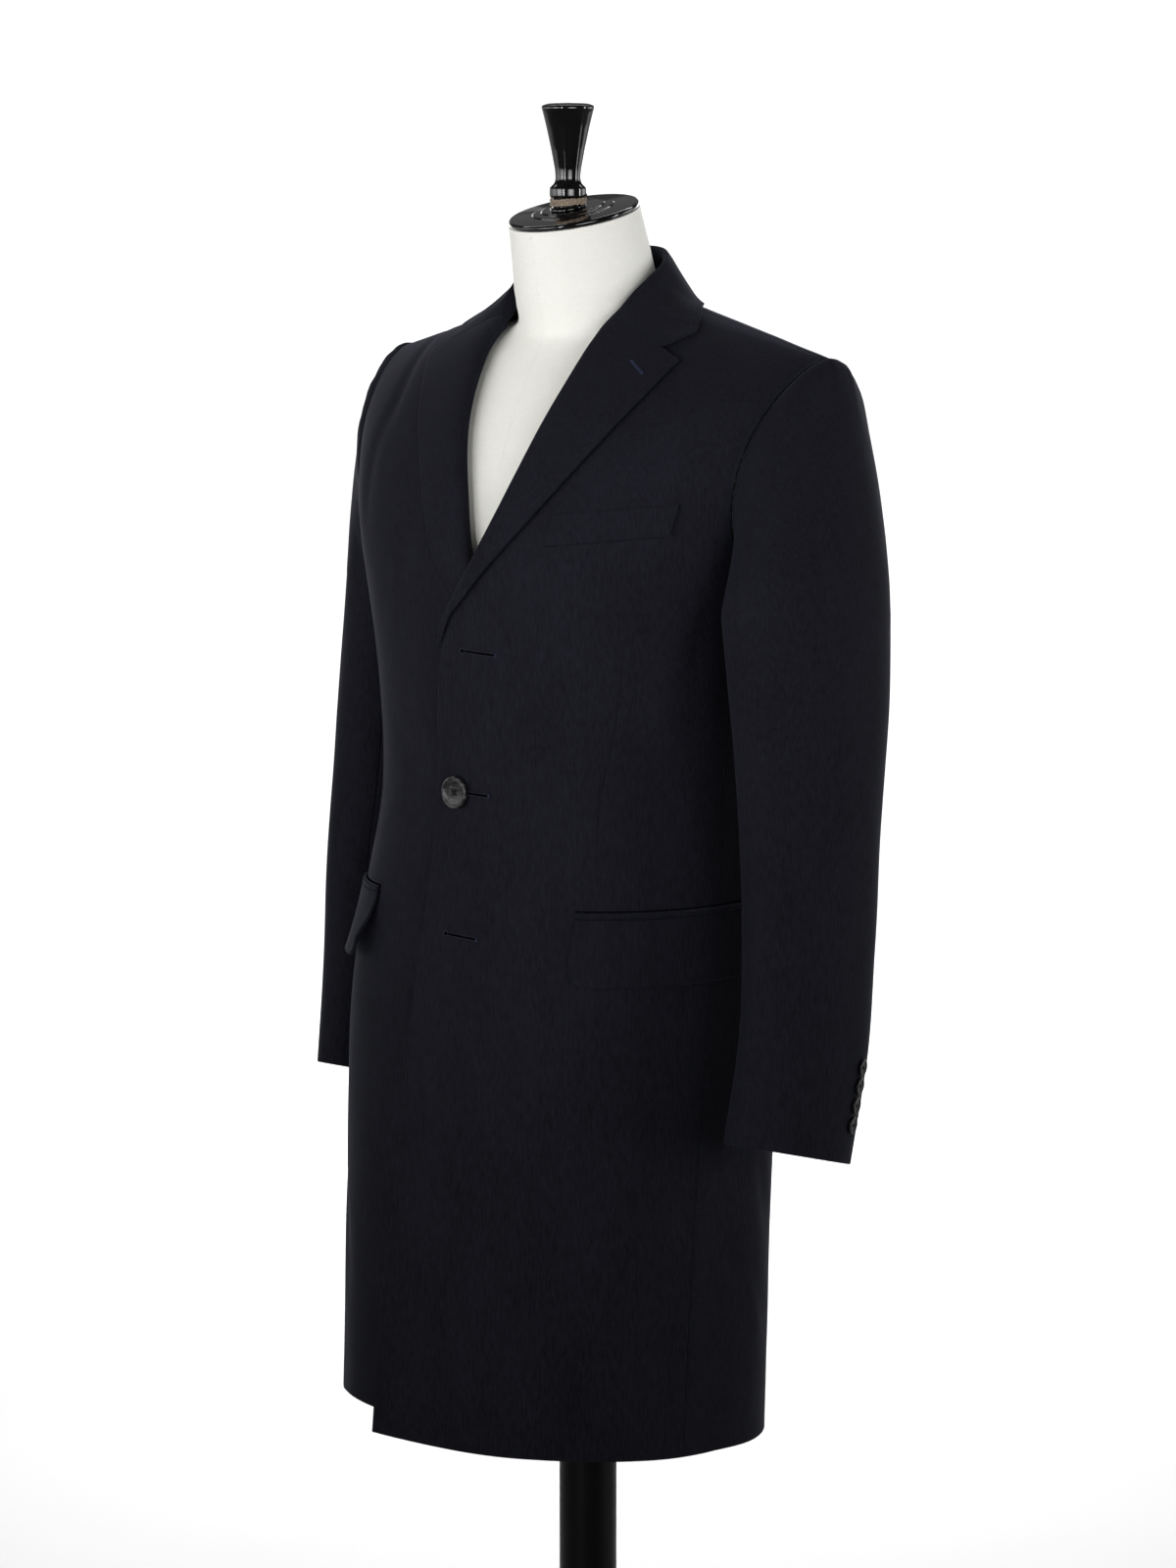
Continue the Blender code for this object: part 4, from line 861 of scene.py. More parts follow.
# Long flutes of the skirt: the side of the coat, where they run (degrees round the body, at the hem
# and at their top), half their width in degrees, their depth at the hem and the height where they
# die out.
FLUTES = columns_of(
    ("side", "low", "high", "wide", "deep", "top"),
    (
        (1, 14, 20, 10, 0.0016, 0.90),
        (1, 46, 40, 12, -0.0018, 1.00),
        (1, 70, 66, 9, 0.0022, 0.94),
        (1, 98, 96, 9, -0.0020, 0.92),
        (1, 136, 132, 11, 0.0026, 1.04),
        (1, 163, 160, 10, -0.0018, 0.98),
        (-1, 22, 18, 11, -0.0014, 0.92),
        (-1, 52, 50, 10, 0.0020, 0.98),
        (-1, 76, 80, 10, -0.0018, 0.90),
        (-1, 110, 108, 10, 0.0022, 0.95),
        (-1, 140, 142, 12, -0.0022, 1.02),
        (-1, 166, 166, 8, 0.0016, 0.94),
    ),
)
# Shorter creases: from one point (degrees, height) to another, how far they bow, their half width
# and depth. A negative depth is a soft ridge.
CREASES = columns_of(
    ("side", "a0", "z0", "a1", "z1", "bow", "wide", "deep"),
    (
        (1, 90, 0.742, 106, 0.668, 0.006, 0.011, 0.0017),
        (1, 97, 0.706, 108, 0.628, -0.004, 0.009, -0.0012),
        (1, 88, 0.664, 101, 0.602, 0.004, 0.010, 0.0013),
        (1, 104, 0.800, 116, 0.722, 0.005, 0.012, 0.0014),
        (1, 20, 0.742, 34, 0.640, 0.010, 0.016, 0.0010),
        (1, 38, 0.706, 52, 0.622, -0.008, 0.014, -0.0009),
        (1, 10, 1.118, 34, 1.150, 0.005, 0.010, 0.0011),
        (1, 12, 1.092, 38, 1.072, -0.005, 0.011, 0.0010),
        (1, 70, 1.262, 78, 1.120, 0.010, 0.013, 0.0024),
        (1, 60, 1.230, 66, 1.130, 0.006, 0.014, -0.0010),
        (1, 52, 1.400, 62, 1.300, 0.010, 0.016, 0.0014),
        (-1, 8, 1.120, 34, 1.158, 0.005, 0.010, 0.0011),
        (-1, 10, 1.086, 36, 1.062, -0.005, 0.011, 0.0010),
        (-1, 44, 1.470, 38, 1.390, 0.006, 0.008, 0.0020),
        (-1, 38, 1.420, 44, 1.310, -0.005, 0.010, 0.0014),
        (-1, 68, 1.262, 76, 1.130, 0.010, 0.013, 0.0020),
        (-1, 60, 0.760, 48, 0.660, 0.010, 0.014, 0.0012),
        (-1, 92, 0.700, 104, 0.620, 0.006, 0.011, 0.0013),
        (1, 176, 1.120, 146, 1.150, 0.006, 0.013, 0.0015),
        (-1, 176, 1.105, 148, 1.128, -0.006, 0.013, 0.0015),
        (1, 172, 1.070, 148, 1.055, 0.005, 0.012, 0.0011),
        (-1, 170, 1.060, 144, 1.040, 0.005, 0.012, 0.0011),
        (1, 132, 1.330, 148, 1.220, 0.010, 0.015, 0.0019),
        (-1, 132, 1.330, 150, 1.215, -0.010, 0.015, 0.0018),
        (1, 140, 1.420, 152, 1.330, 0.008, 0.014, 0.0012),
        (-1, 142, 1.425, 150, 1.335, 0.008, 0.014, 0.0011),
        (1, 150, 0.860, 136, 0.740, 0.010, 0.015, 0.0014),
        (-1, 152, 0.800, 164, 0.690, -0.010, 0.014, 0.0013),
    ),
)


def bell(distance):
    return np.exp(-(distance**2))


def ease(value):
    value = np.clip(value, 0, 1)
    return value * value * (3 - 2 * value)


CREASE_ENDS, CREASE_BELLY = 0.25, 0.8         # its depth at its ends, and how it swells between
CREASE_WIDENS = (0.7, 0.5)  # a crease's half width where it starts, and what it gains to its end


def crease_field(s, z, ends, bow, wide, deep):
    """Depth of one crease between two points of a flat plan, thinning out towards its ends."""
    (s0, z0), (s1, z1) = ends
    length = math.hypot(s1 - s0, z1 - z0)
    along = ((s - s0) * (s1 - s0) + (z - z0) * (z1 - z0)) / length**2
    across = ((s - s0) * (z1 - z0) - (z - z0) * (s1 - s0)) / length
    inside = np.clip(along, 0, 1)
    across = across - bow * 4 * inside * (1 - inside)
    beyond = (along - inside) * length
    taper = CREASE_ENDS + (1 - CREASE_ENDS) * np.sin(math.pi * inside) ** CREASE_BELLY
    spans = wide * (CREASE_WIDENS[0] + CREASE_WIDENS[1] * inside)
    return deep * taper * bell(across / spans) * bell(beyond / wide)


HAND = np.random.default_rng(11).uniform(0, 2 * math.pi, (6, 3))
HAND_WAVES = ((31, 17), (47, -29), (73, 38), (22, 61), (96, -55), (130, 84))
HAND_DEEP = 0.00020


def hand(s, z, seed):
    """The uneven hand of a thick cloth: faint waves, in metres."""
    total = 0 * s
    for number, (across, up) in enumerate(HAND_WAVES):
        phase = HAND[number, seed % 3] + seed
        total = total + np.sin(across * s + up * z + phase) / (1 + number)
    return HAND_DEEP * total


def creased(creases, side, s, z, plan):
    """The depth of all creases of one side; plan turns an angle and a height into (s, z)."""
    total = 0 * s
    for i in np.flatnonzero(creases["side"] == side):
        c = {key: float(column[i]) for key, column in creases.items()}
        ends = [(math.radians(c["a" + n]) * plan[0], c["z" + n] * plan[1]) for n in "01"]
        total = total + crease_field(s, z, ends, c["bow"], c["wide"], c["deep"])
    return total


def drape(angle, z, side):
    """How far the worn cloth stands off its plain form."""
    degrees, s = np.degrees(angle), angle * FLAT_RADIUS
    moved = hand(s, z, 1 if side == LEFT else 2)
    for i in np.flatnonzero(FLUTES["side"] == side):
        top = FLUTES["top"][i]
        low = np.clip((top - z) / (top - HEM_Z), 0, 1)
        middle = FLUTES["high"][i] + (FLUTES["low"][i] - FLUTES["high"][i]) * low
        deep = FLUTES["deep"][i] * low**FLUTE_FADE
        moved = moved - deep * bell((degrees - middle) / FLUTES["wide"][i])
    moved = moved - creased(CREASES, side, s, z, (FLAT_RADIUS, 1))
    return moved * (HEM_CALM + (1 - HEM_CALM) * ease((z - HEM_Z) / HEM_TURNED))


def over_panel(angle, z, side, height=0.0):
    """Points at a height over the draped cloth."""
    rise = (height + drape(angle, z, side))[..., None]
    return body_point(angle, z, side) + rise * body_normal(angle, z, side)


def on_front(x, z, side, height=0.0):
    """Points over a front, by their distance from its middle and their height, and the normals."""
    angle = front_angle(x, z)
    return over_panel(angle, z, side, height), body_normal(angle, z, side)


def panel(name, domain, side, edges, lift=0.0):
    angle, z = domain[..., 0], domain[..., 1]
    normal = body_normal(angle, z, side)
    if not name.startswith("coat_side"):      # at the shoulder seam the walls meet upright
        normal[-1, :, 1] = 0
        normal = unit(normal)
    points = body_point(angle, z, side) + (lift + drape(angle, z, side))[..., None] * normal
    piece = cloth(name + "_wool", points, normal, edges, (name,))
    return declare(piece, points)


def declare(piece, points, with_pieces=()):
    """Works out the width, length and area that would be cut for what shows of a piece; nothing
    keeps them, and the piece is returned as it is.
    """
    width, length, area = cut_size(points)
    area = min(area, width * length)
    return piece


def distances(path):
    """How far each point lies along a polyline."""
    return np.concatenate([[0], np.cumsum(np.linalg.norm(np.diff(path, axis=0), axis=-1))])


def read_at(values, far, at):
    """Values of the points of a polyline, read at other distances along it."""
    return np.stack([np.interp(at, far, column) for column in np.transpose(values)], axis=-1)


# The dart down each front: height and angle in degrees.
DART = Table(("z", "angle"), ((1.040, 46.4), (1.108, 46.0), (1.159, 48.1), (1.244, 48.8)))
DART_DEEP = 0.0007
DART_BESIDE = 0.3           # the share of a seam's depth on the columns beside it
DART_KEPT = (0.045, 0.020)  # its least distances from the turned edge and from the side seam
STITCH_IN = 0.0072          # from a turned edge to its line of stitches
STITCH_DEEP = 0.00035
STITCHED_TO = 0.012         # how far below the break the stitches end
STITCH_FADE, DART_FADE = 0.01, 0.03           # over what length such a line starts and ends
NEAR = np.array([-0.0019, -0.0007, 0.0, 0.0007, 0.0019])      # columns on and beside such a line
EDGE_COLUMNS = (0, 0.0028)  # the columns ahead of the stitches
BEFORE_DART, AFTER_DART = 32, 43              # how many columns lie there


def regrid(domain, side):
    """Moves the columns of a front so that some follow the stitched edge and the dart."""
    rows = []
    for row in domain:
        angle, z = row.T
        far = distances(body_point(angle, z, side))
        dart = float(np.interp(math.radians(float(DART("angle", z.mean()))), angle, far))
        dart = min(max(dart, DART_KEPT[0]), far[-1] - DART_KEPT[1])
        edge = STITCH_IN + NEAR
        before = np.linspace(edge[-1], dart + NEAR[0], BEFORE_DART + 2)[1:-1]
        after = np.linspace(dart + NEAR[-1], far[-1], AFTER_DART + 1)[1:]
        at = np.concatenate([EDGE_COLUMNS, edge, before, dart + NEAR, after])
        rows.append(read_at(row, far, at))
    return np.array(rows)


def front(side):
    armhole_high = armhole_curve(ARMHOLE_FRONT, 0, (ARMHOLE_ROWS - 1) * FINE + 1)
    low = seam_curve(FRONT_SEAM, armhole_high[0], (ROWS - ARMHOLE_ROWS) * FINE + 1)
    outer = np.concatenate([low, armhole_high[1:]])
    z = np.linspace(HEM_Z, BREAK_Z, (OPENING_ROWS - 1) * FINE + 1)
    high = (ROWS - OPENING_ROWS) * FINE + 1
    z = np.concatenate([z, spread(BREAK_Z, OPENING_TOP_Z, high, OPENING_CROWD)[1:]])
    inner = np.stack([front_angle(opening_x(z, side), z), z], axis=-1)
    columns = (COLUMNS - 1) * FINE_ACROSS + 1
    top = shoulder_curve(side, False, columns)
    inner[-1] = top[0]
    domain = coons(inner, outer, hem_curve(inner[0, 0], outer[0, 0], columns), top)
    domain = regrid(domain, side)
    height = domain[..., 1]
    lift = np.zeros(height.shape)
    stitched = STITCH_DEEP * ease((BREAK_Z - STITCHED_TO - height) / STITCH_FADE)
    from_ends = np.minimum(height - DART.at[0], DART.at[-1] - height)
    sewn = DART_DEEP * ease(from_ends / DART_FADE)
    stitch_column = len(EDGE_COLUMNS) + len(NEAR) // 2
    dart_column = stitch_column + len(NEAR) + BEFORE_DART
    for column, deep in ((stitch_column, stitched), (dart_column, sewn)):
        for beside, share in ((-1, DART_BESIDE), (0, 1), (1, DART_BESIDE)):
            lift[:, column + beside] -= share * deep[:, column + beside]
    return panel(f"coat_front_{side_name(side)}", domain, side, (FREE, SEWN, FREE, SEWN), lift)


def side_of_coat(side):
    rows = (ROWS - ARMHOLE_ROWS) * FINE + 1
    fore, hind = (columns * FINE_ACROSS for columns in SIDE_COLUMNS)
    turn_front, turn_back = armhole(np.array(ARMHOLE_FRONT)), armhole(np.array(ARMHOLE_BACK))
    left = seam_curve(FRONT_SEAM, (float(turn_front[0]), float(turn_front[1])), rows)
    right = seam_curve(BACK_SEAM, (math.pi - float(turn_back[0]), float(turn_back[1])), rows)
    ahead = armhole_curve(ARMHOLE_FRONT, math.pi, fore + 1)
    behind = armhole_curve(math.pi, ARMHOLE_BACK, hind + 1, True)
    hem = hem_curve(FRONT_SEAM, BACK_SEAM, fore + hind + 1)
    domain = coons(left, right, hem, np.concatenate([ahead, behind[1:]]))
    return panel(f"coat_side_{side_name(side)}", domain, side, (SEWN, SEWN, FREE, FREE))


def back(side):
    turn = armhole_curve(ARMHOLE_BACK, 0, (ARMHOLE_ROWS - 1) * FINE + 1, True)
    low = seam_curve(BACK_SEAM, turn[0], (ROWS - ARMHOLE_ROWS) * FINE + 1)
    outer = np.concatenate([low, turn[1:]])
    z = np.linspace(float(hem_z(math.pi)), BACK_CHEST_Z, OPENING_ROWS * FINE + 1)
    high = (ROWS - 1 - OPENING_ROWS) * FINE + 1
    z = np.concatenate([z, spread(BACK_CHEST_Z, BACK_NECK_Z, high, BACK_CROWD)[1:]])
    middle = np.stack([np.full(len(z), math.pi), z], axis=-1)
    half = NECK_HALF[side]
    columns = (COLUMNS - 1) * FINE_ACROSS + 1
    on_neck = len(NECK_SHARES) * FINE_ACROSS
    share = np.linspace(0, 1, on_neck + 1)[:-1]
    neck_z = BACK_NECK_Z + (float(shoulder_z(half)) - BACK_NECK_Z) * share**2
    neck = np.stack([math.pi - front_angle(half * share, neck_z), neck_z], axis=-1)
    top = np.concatenate([neck, shoulder_curve(side, True, columns - on_neck)])[::-1]
    domain = coons(outer, middle, hem_curve(BACK_SEAM, math.pi, columns), top)
    return panel(f"coat_back_{side_name(side)}", domain, side, (SEWN, SEWN, FREE, SEWN))


# ================================================================ lapels and collar
def smooth_rows(grid, times):
    """A curve through the rows of a grid, smooth also where they are unevenly spaced."""
    step = np.maximum(np.sqrt(np.linalg.norm(np.diff(grid, axis=0), axis=-1)), 1e-5)[..., None]
    rate = np.diff(grid, axis=0) / step
    slopes = np.empty_like(grid)
    slopes[0], slopes[-1] = rate[0], rate[-1]
    slopes[1:-1] = (rate[1:] * step[:-1] + rate[:-1] * step[1:]) / (step[1:] + step[:-1])
    t = (np.arange(times) / times)[None, :, None, None]
    a, b, h = grid[:-1, None], grid[1:, None], step[:, None]
    rows = hermite(t, a, b, h * slopes[:-1, None], h * slopes[1:, None])
    return np.concatenate([rows.reshape(-1, *grid.shape[1:]), grid[-1:]])


def smooth_both(grid, row_times, column_times):
    grid = smooth_rows(grid, row_times)
    return smooth_rows(grid.transpose(1, 0, 2), column_times).transpose(1, 0, 2)


# Behind the roll, the same cloth goes on over the inside of the front.
FACING = (
    (0.0150, 0.00, -0.0060),
    (0.0050, 0.00, -0.0061),
    (-0.0010, 0.00, -0.0058),
    (-0.0034, 0.00, -0.0040),
)
LAPEL_FINE = (5, 4)         # steps between two of a lapel's rows, and between two of its columns
SHOWN = slice(LAPEL_FINE[1] * len(FACING), None)       # its columns from the turned edge out
BREAK_WIDE = 0.0045         # the lapel's width where it starts to turn
BREAK_LONG = 0.12           # the share of its length over which it widens from there
BREAK_BELOW = 0.07          # the share by which it goes on below, round the front's edge
BREAK_END = ((-0.0036, -0.0034), (-0.0038, -0.0010))     # where it ends: from the edge, and height


def lapel(side):
    share = np.concatenate([np.linspace(-BREAK_BELOW, 0, 5)[:-1], np.linspace(0, 1, 29)])
    roll_z = BREAK_Z + (ROLL_TOP_Z[side] - BREAK_Z) * share
    roll_x = opening_x(roll_z, side)
    edge_x, edge_z = (LAPEL(axis + key_of(side), share) for axis in "xz")
    below = ease(-share / BREAK_BELOW)
    way = np.stack([edge_x - roll_x, edge_z - roll_z])
    reach = np.linalg.norm(way, axis=0)
    way = way / reach
    way[:, share < 0] = way[:, share == 0]
    reach = BREAK_WIDE + (reach - BREAK_WIDE) * ease(share / BREAK_LONG)
    turned = np.clip(share / LAPEL_TURNED, 0, 1)
    points = []
    for column, (step, part, height) in enumerate(FACING + LAPEL_ROLL):
        x = roll_x + way[0] * (step + part * reach)
        z = roll_z + way[1] * (step + part * reach)
        if height > 0:
            height = LAPEL_LOW + (height - LAPEL_LOW) * turned
        if column >= len(FACING):
            at = (column + 1 - len(FACING)) / len(LAPEL_ROLL)
            end_x, end_height = (a + (b - a) * at for a, b in zip(*BREAK_END))
            x = x + (roll_x + end_x - x) * below
            z = z + (roll_z - z) * below
            height = height + (end_height - height) * below
        points.append(on_front(x, z, side, height)[0])
    grid = smooth_both(np.stack(points, axis=1), *LAPEL_FINE)
    normal = grid_normals(grid, side)
    name = f"coat_lapel_{side_name(side)}"
    piece = cloth(name + "_wool", grid, normal, (FREE, FREE, FREE, SEWN), (name,))
    turned_grids[side] = (grid, normal)
    return declare(piece, grid[:, SHOWN])


GORGE_ROWS = 26             # rows of the collar, from an end on, that are drawn to the lapel's top
GORGE_FADE = 1.3            # how fast they leave it
COLLAR_SECTIONS = 29        # from an end to the middle of the back
COLLAR_FINE = (4, 5)        # steps between two of them, and between two of the collar's columns
# Columns of the collar's section, and the columns of the lapel that they are sewn to.
COLLAR_MEETS, LAPEL_MEETS = (0, 2, 3, 4, 5, 6), (0, 1, 2, 3, 4, 5)


def gorge(side):
    """Where the collar's end is sewn along the lapel's top, up to the notch, and the normals."""
    columns = np.arange(COLLAR_MEETS[-1] * COLLAR_FINE[1] + 1)
    meets, lapel_meets = np.array(COLLAR_MEETS), np.array(LAPEL_MEETS)
    at = np.interp(columns, meets * COLLAR_FINE[1], lapel_meets * LAPEL_FINE[1])
    low = np.floor(at).astype(int)
    part = (at - low)[:, None]
    tops = (grid[-1, SHOWN] for grid in turned_grids[side])
    line, ups = ((1 - part) * top[low] + part * top[low + 1] for top in tops)
    return line, unit(ups)


def collar():
    half = np.linspace(7, 0, COLLAR_SECTIONS)
    sections = np.array([collar_section(at) for at in half])
    outer = np.concatenate([sections, sections[-2::-1] * np.array([-1, 1, 1])])
    at = np.concatenate([half, half[-2::-1]])
    aside = COLLAR_ASIDE[0] + (COLLAR_ASIDE[1] - COLLAR_ASIDE[0]) * np.clip((at - 4) / 3, 0, 1)
    outer[..., 0] += aside[:, None] * np.array([0, 0, 0, 0, 0, *COLLAR_FALL, 1.0])
    grid = smooth_both(outer, *COLLAR_FINE)
    tops = {0: gorge(LEFT), -1: gorge(RIGHT)}
    for end, (line, _) in tops.items():
        shift = line - grid[end, : len(line)]
        fade = np.linspace(1, 0, COLLAR_FINE[1] + 1)[1:, None]
        shift = np.concatenate([shift, fade * shift[-1]])
        for step in range(GORGE_ROWS):
            row = step if end == 0 else -1 - step
            grid[row] += ease(1 - step / GORGE_ROWS) ** GORGE_FADE * shift
    normal = grid_normals(grid)
    for end, (_, line_normal) in tops.items():
        normal[end, : len(line_normal)] = line_normal
    piece = cloth("coat_collar_wool", grid, normal, (FREE, FREE, SEWN, SEWN), ("coat_collar",))
    turned_grids["collar"] = (grid, normal)
    return declare(piece, grid)


turned_grids = {}           # points and normals of the lapels, by side, and of the collar


# ================================================================ sleeves
# Creases of the sleeves: the side, from one point (degrees round, place along) to another, how far
# they bow, half their width in metres and their depth.
SLEEVE_CREASES = columns_of(
    ("side", "a0", "z0", "a1", "z1", "bow", "wide", "deep"),
    (
        (1, 118, 1.58, 70, 1.50, 0.006, 0.010, 0.0020),
        (1, 122, 1.66, 74, 1.64, -0.005, 0.010, 0.0017),
        (1, 110, 1.45, 60, 1.40, 0.006, 0.012, -0.0012),
        (1, 30, 1.30, 20, 1.62, 0.008, 0.014, 0.0010),
        (1, 84, 0.72, 74, 1.12, 0.006, 0.011, 0.0017),
        (1, 60, 0.55, 50, 0.95, 0.005, 0.012, -0.0009),
        (1, 222, 1.52, 262, 1.44, 0.006, 0.012, 0.0020),
        (1, 226, 1.62, 270, 1.60, -0.005, 0.011, 0.0017),
        (1, 280, 0.75, 288, 1.15, 0.006, 0.012, 0.0018),
        (1, 300, 0.60, 306, 1.02, -0.005, 0.013, 0.0012),
        (1, 176, 1.20, 168, 1.46, 0.006, 0.012, 0.0020),
        (-1, 120, 1.57, 72, 1.50, 0.006, 0.010, 0.0019),
        (-1, 118, 1.68, 76, 1.63, -0.005, 0.011, 0.0016),
        (-1, 82, 0.70, 74, 1.10, 0.006, 0.011, 0.0018),
        (-1, 40, 1.28, 32, 1.58, 0.008, 0.014, 0.0011),
        (-1, 224, 1.55, 264, 1.46, 0.006, 0.012, 0.0020),
        (-1, 228, 1.66, 268, 1.62, -0.005, 0.011, 0.0015),
        (-1, 282, 0.72, 290, 1.12, 0.006, 0.012, 0.0018),
        (-1, 302, 0.62, 310, 1.00, -0.005, 0.013, 0.0012),
        (-1, 178, 1.18, 170, 1.42, 0.006, 0.012, 0.0019),
    ),
)
SLEEVE_ROUND = 0.052        # turns an angle round a sleeve into a distance
SLEEVE_LONG = 0.43          # and a step along it
SLEEVE_HAND = (1.4, 0.4)    # how much closer its faint waves lie, and where they have risen fully
HEAD_FULL = 0.0016          # how far the sleeve head stands up beside its seam
HEAD_AT, HEAD_WIDE = 0.16, 0.13               # where that is, and half its width
HEAD_PUCKERS = ((0.22, 17), (0.15, 31))       # its faint waves: their share, and how many go round
HEAD_RISE, HEAD_REACH = 0.1, 0.45             # where it has risen, and how far down it reaches
DRAPE_RISE = 0.12           # where the drape has risen
CUFF_CALM = 0.6             # the share of the drape that the turned-up cuff loses
CUFF_TURNED = 0.1
SLEEVE_ROWS = (60, 116)     # of the cap and of the arm
CAP_CROWD = 1.3             # how much the cap's crowd towards the armhole


def sleeve_drape(turn, at, side):
    turn = np.mod(turn, 2 * math.pi)
    s, z = turn * SLEEVE_ROUND, at * SLEEVE_LONG
    closer, risen = SLEEVE_HAND
    moved = hand(s * closer, z, 3 if side == LEFT else 4) * ease(at / risen)
    moved = moved - creased(SLEEVE_CREASES, side, s, z, (SLEEVE_ROUND, SLEEVE_LONG))
    (share, waves), (fine_share, fine_waves) = HEAD_PUCKERS
    puckers = 1 + share * np.sin(waves * turn + side) + fine_share * np.sin(fine_waves * turn)
    top = np.clip(np.cos(turn) + HEAD_REACH, 0, 1)
    head = HEAD_FULL * top * puckers * bell((at - HEAD_AT) / HEAD_WIDE) * ease(at / HEAD_RISE)
    calm = 1 - CUFF_CALM * ease((at - SLEEVE.at[-1] + CUFF_TURNED) / CUFF_TURNED)
    return (moved * ease(at / DRAPE_RISE) + head) * calm


# How far a sleeve's first rows are set in towards the armhole, as shares of SLEEVE_OFF.
SET_DEEP = np.array([0.35, 0.2, 0.1])


def sleeve_piece(name, side, under, columns):
    cap_rows, arm_rows = SLEEVE_ROWS
    at = np.concatenate([np.linspace(0, 1, cap_rows) ** CAP_CROWD, np.linspace(1, 2, arm_rows)[1:]])
    fore, hind = np.radians(SLEEVE_SEAMS("fore", at)), np.radians(SLEEVE_SEAMS("hind", at))
    start, end = (fore, hind + 2 * math.pi) if under else (hind, fore)
    turn = start[:, None] + (end - start)[:, None] * np.linspace(0, 1, columns)[None, :]
    at = np.repeat(at[:, None], columns, axis=1)
    normal = sleeve_normal(turn, at, side)
    points = sleeve_point(turn, at, side) + sleeve_drape(turn, at, side)[..., None] * normal
    points[: len(SET_DEEP)] += SET_DEEP[:, None, None] * SLEEVE_OFF * unit(points[0] - points[1])
    whole = f"{name}_{side_name(side)}"
    nodes = [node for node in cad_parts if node.startswith(whole)]
    piece = cloth(whole + "_wool", points, normal, (SEWN, SEWN, SET_IN, FREE), nodes)
    return declare(piece, points)


# ================================================================ pockets
JET_GRID = (9, 70)          # rows and columns
# The painted shadow lines of a jet, dark strips where its seam and the pocket's mouth under it lie
# in shade: the middle of each, from the pocket's height, half their height, how far they stand over
# the cloth and how thick they are.
JET_LINES = (0.0005, -JET_HIGH - 0.0001)
JET_LINE_HALF, JET_LINE_LIFT, JET_LINE_THICK = 0.0005, 0.0006, 0.0005
JET_LINE_GRID = (5, 160)


def along_pocket(side, columns, up, height):
    """Points and normals of a strip along a pocket, whose rows lie up from the pocket's height."""
    angle = np.repeat(np.linspace(*POCKET[side], columns)[None, :], len(up), axis=0)
    z = POCKET_Z + up + 0 * angle
    return over_panel(angle, z, side, height), body_normal(angle, z, side)


def pocket_jet(side):
    rise, walls = (np.array(column) for column in zip(*JET_SECTION))
    rows, columns = JET_GRID
    fine = np.linspace(0, 1, rows)[:, None]
    height = CLOTH * np.interp(fine, rise, walls) + LAID
    strip = along_pocket(side, columns, JET_HIGH * (fine - 1), height)
    name = f"pocket_jet_{side_name(side)}"
    return cloth(name + "_wool", *strip, (FREE,) * 4, (name,))


def jet_painted_shadow(side, number):
    """A painted shadow: the dark line of a jet's seam or of the pocket's mouth under it."""
    rows, columns = JET_LINE_GRID
    up = JET_LINES[number] + np.linspace(-JET_LINE_HALF, JET_LINE_HALF, rows)[:, None]
    line = cloth_arrays(*along_pocket(side, columns, up, JET_LINE_LIFT), *THIN, wall=JET_LINE_THICK)
    return add_mesh(f"jet_painted_shadow_{side_name(side)}_{number}", *line, PAINTED_SHADE)


FLAP_GRID = (30, 78)        # rows and columns
FLAP_WAVE, FLAP_WAVES = 0.0007, 9
FLAP_LIFT = 0.0005          # how far its lower edge lifts for its own thickness


def pocket_flap(side):
    rows, columns = FLAP_GRID
    front_end, hind_end = POCKET[side]
    along = np.linspace(0, 1, columns)
    angle_line = front_end + (hind_end - front_end) * along
    radius = 0.5 * (float(BODY("wide", POCKET_Z)) + float(BODY("front_l", POCKET_Z)))
    inset = np.minimum(angle_line - front_end, hind_end - angle_line) * radius
    cut = np.clip(1 - inset / FLAP_CORNER, 0, 1)
    deep = FLAP_HIGH - FLAP_CORNER * (1 - np.sqrt(1 - cut**2))
    down = np.linspace(0, 1, rows)[::-1, None]
    z = POCKET_Z - JET_HIGH - SEAM - deep[None, :] * down
    angle = np.repeat(angle_line[None, :], rows, axis=0)
    front_stand, hind_stand = FLAP_STAND[side]
    back_in = np.clip(along / FLAP_FLARED, 0, 1)[None, :]
    stand_off = front_stand + (hind_stand - front_stand) * back_in
    wave = FLAP_WAVE * np.sin(FLAP_WAVES * along + side)[None, :] * down**2
    height = CLOTH + LAID + stand_off * down**1.5 + wave + FLAP_LIFT * down
    points = over_panel(angle, z, side, height)
    normal = grid_normals(points, side)
    name = f"pocket_flap_{side_name(side)}"
    piece = cloth(name + "_wool", points, normal, (FREE,) * 4, (name,))
    return declare(piece, points, [pocket_jet(side)])


WELT_GRID = (13, 44)        # rows and columns
WELT_FOOT = 0.9             # the height of its lower edge, in walls


def chest_welt():
    (x0, z0), (x1, z1) = WELT_LOW
    rows, columns = WELT_GRID
    share = np.linspace(0, 1, columns)[None, :]
    up = np.linspace(0, 1, rows)[:, None]
    x = x0 + (x1 - x0) * share + WELT_LEAN * up
    z = z0 + (z1 - z0) * share + WELT_HIGH * up
    points, normal = on_front(x, z, LEFT, WELT_FOOT * CLOTH + LAID + WELT_STAND * up)
    piece = cloth("chest_welt_wool", points, normal, (FREE,) * 4, ("chest_welt",))
    return declare(piece, points)


# ================================================================ sewing
def frames_of(path, normals):
    """Along a path: its way, the normals square to it, and the direction across it."""
    way = unit(np.gradient(path, axis=0))
    normal = unit(normals - (normals * way).sum(axis=-1, keepdims=True) * way)
    return way, normal, np.cross(way, normal)


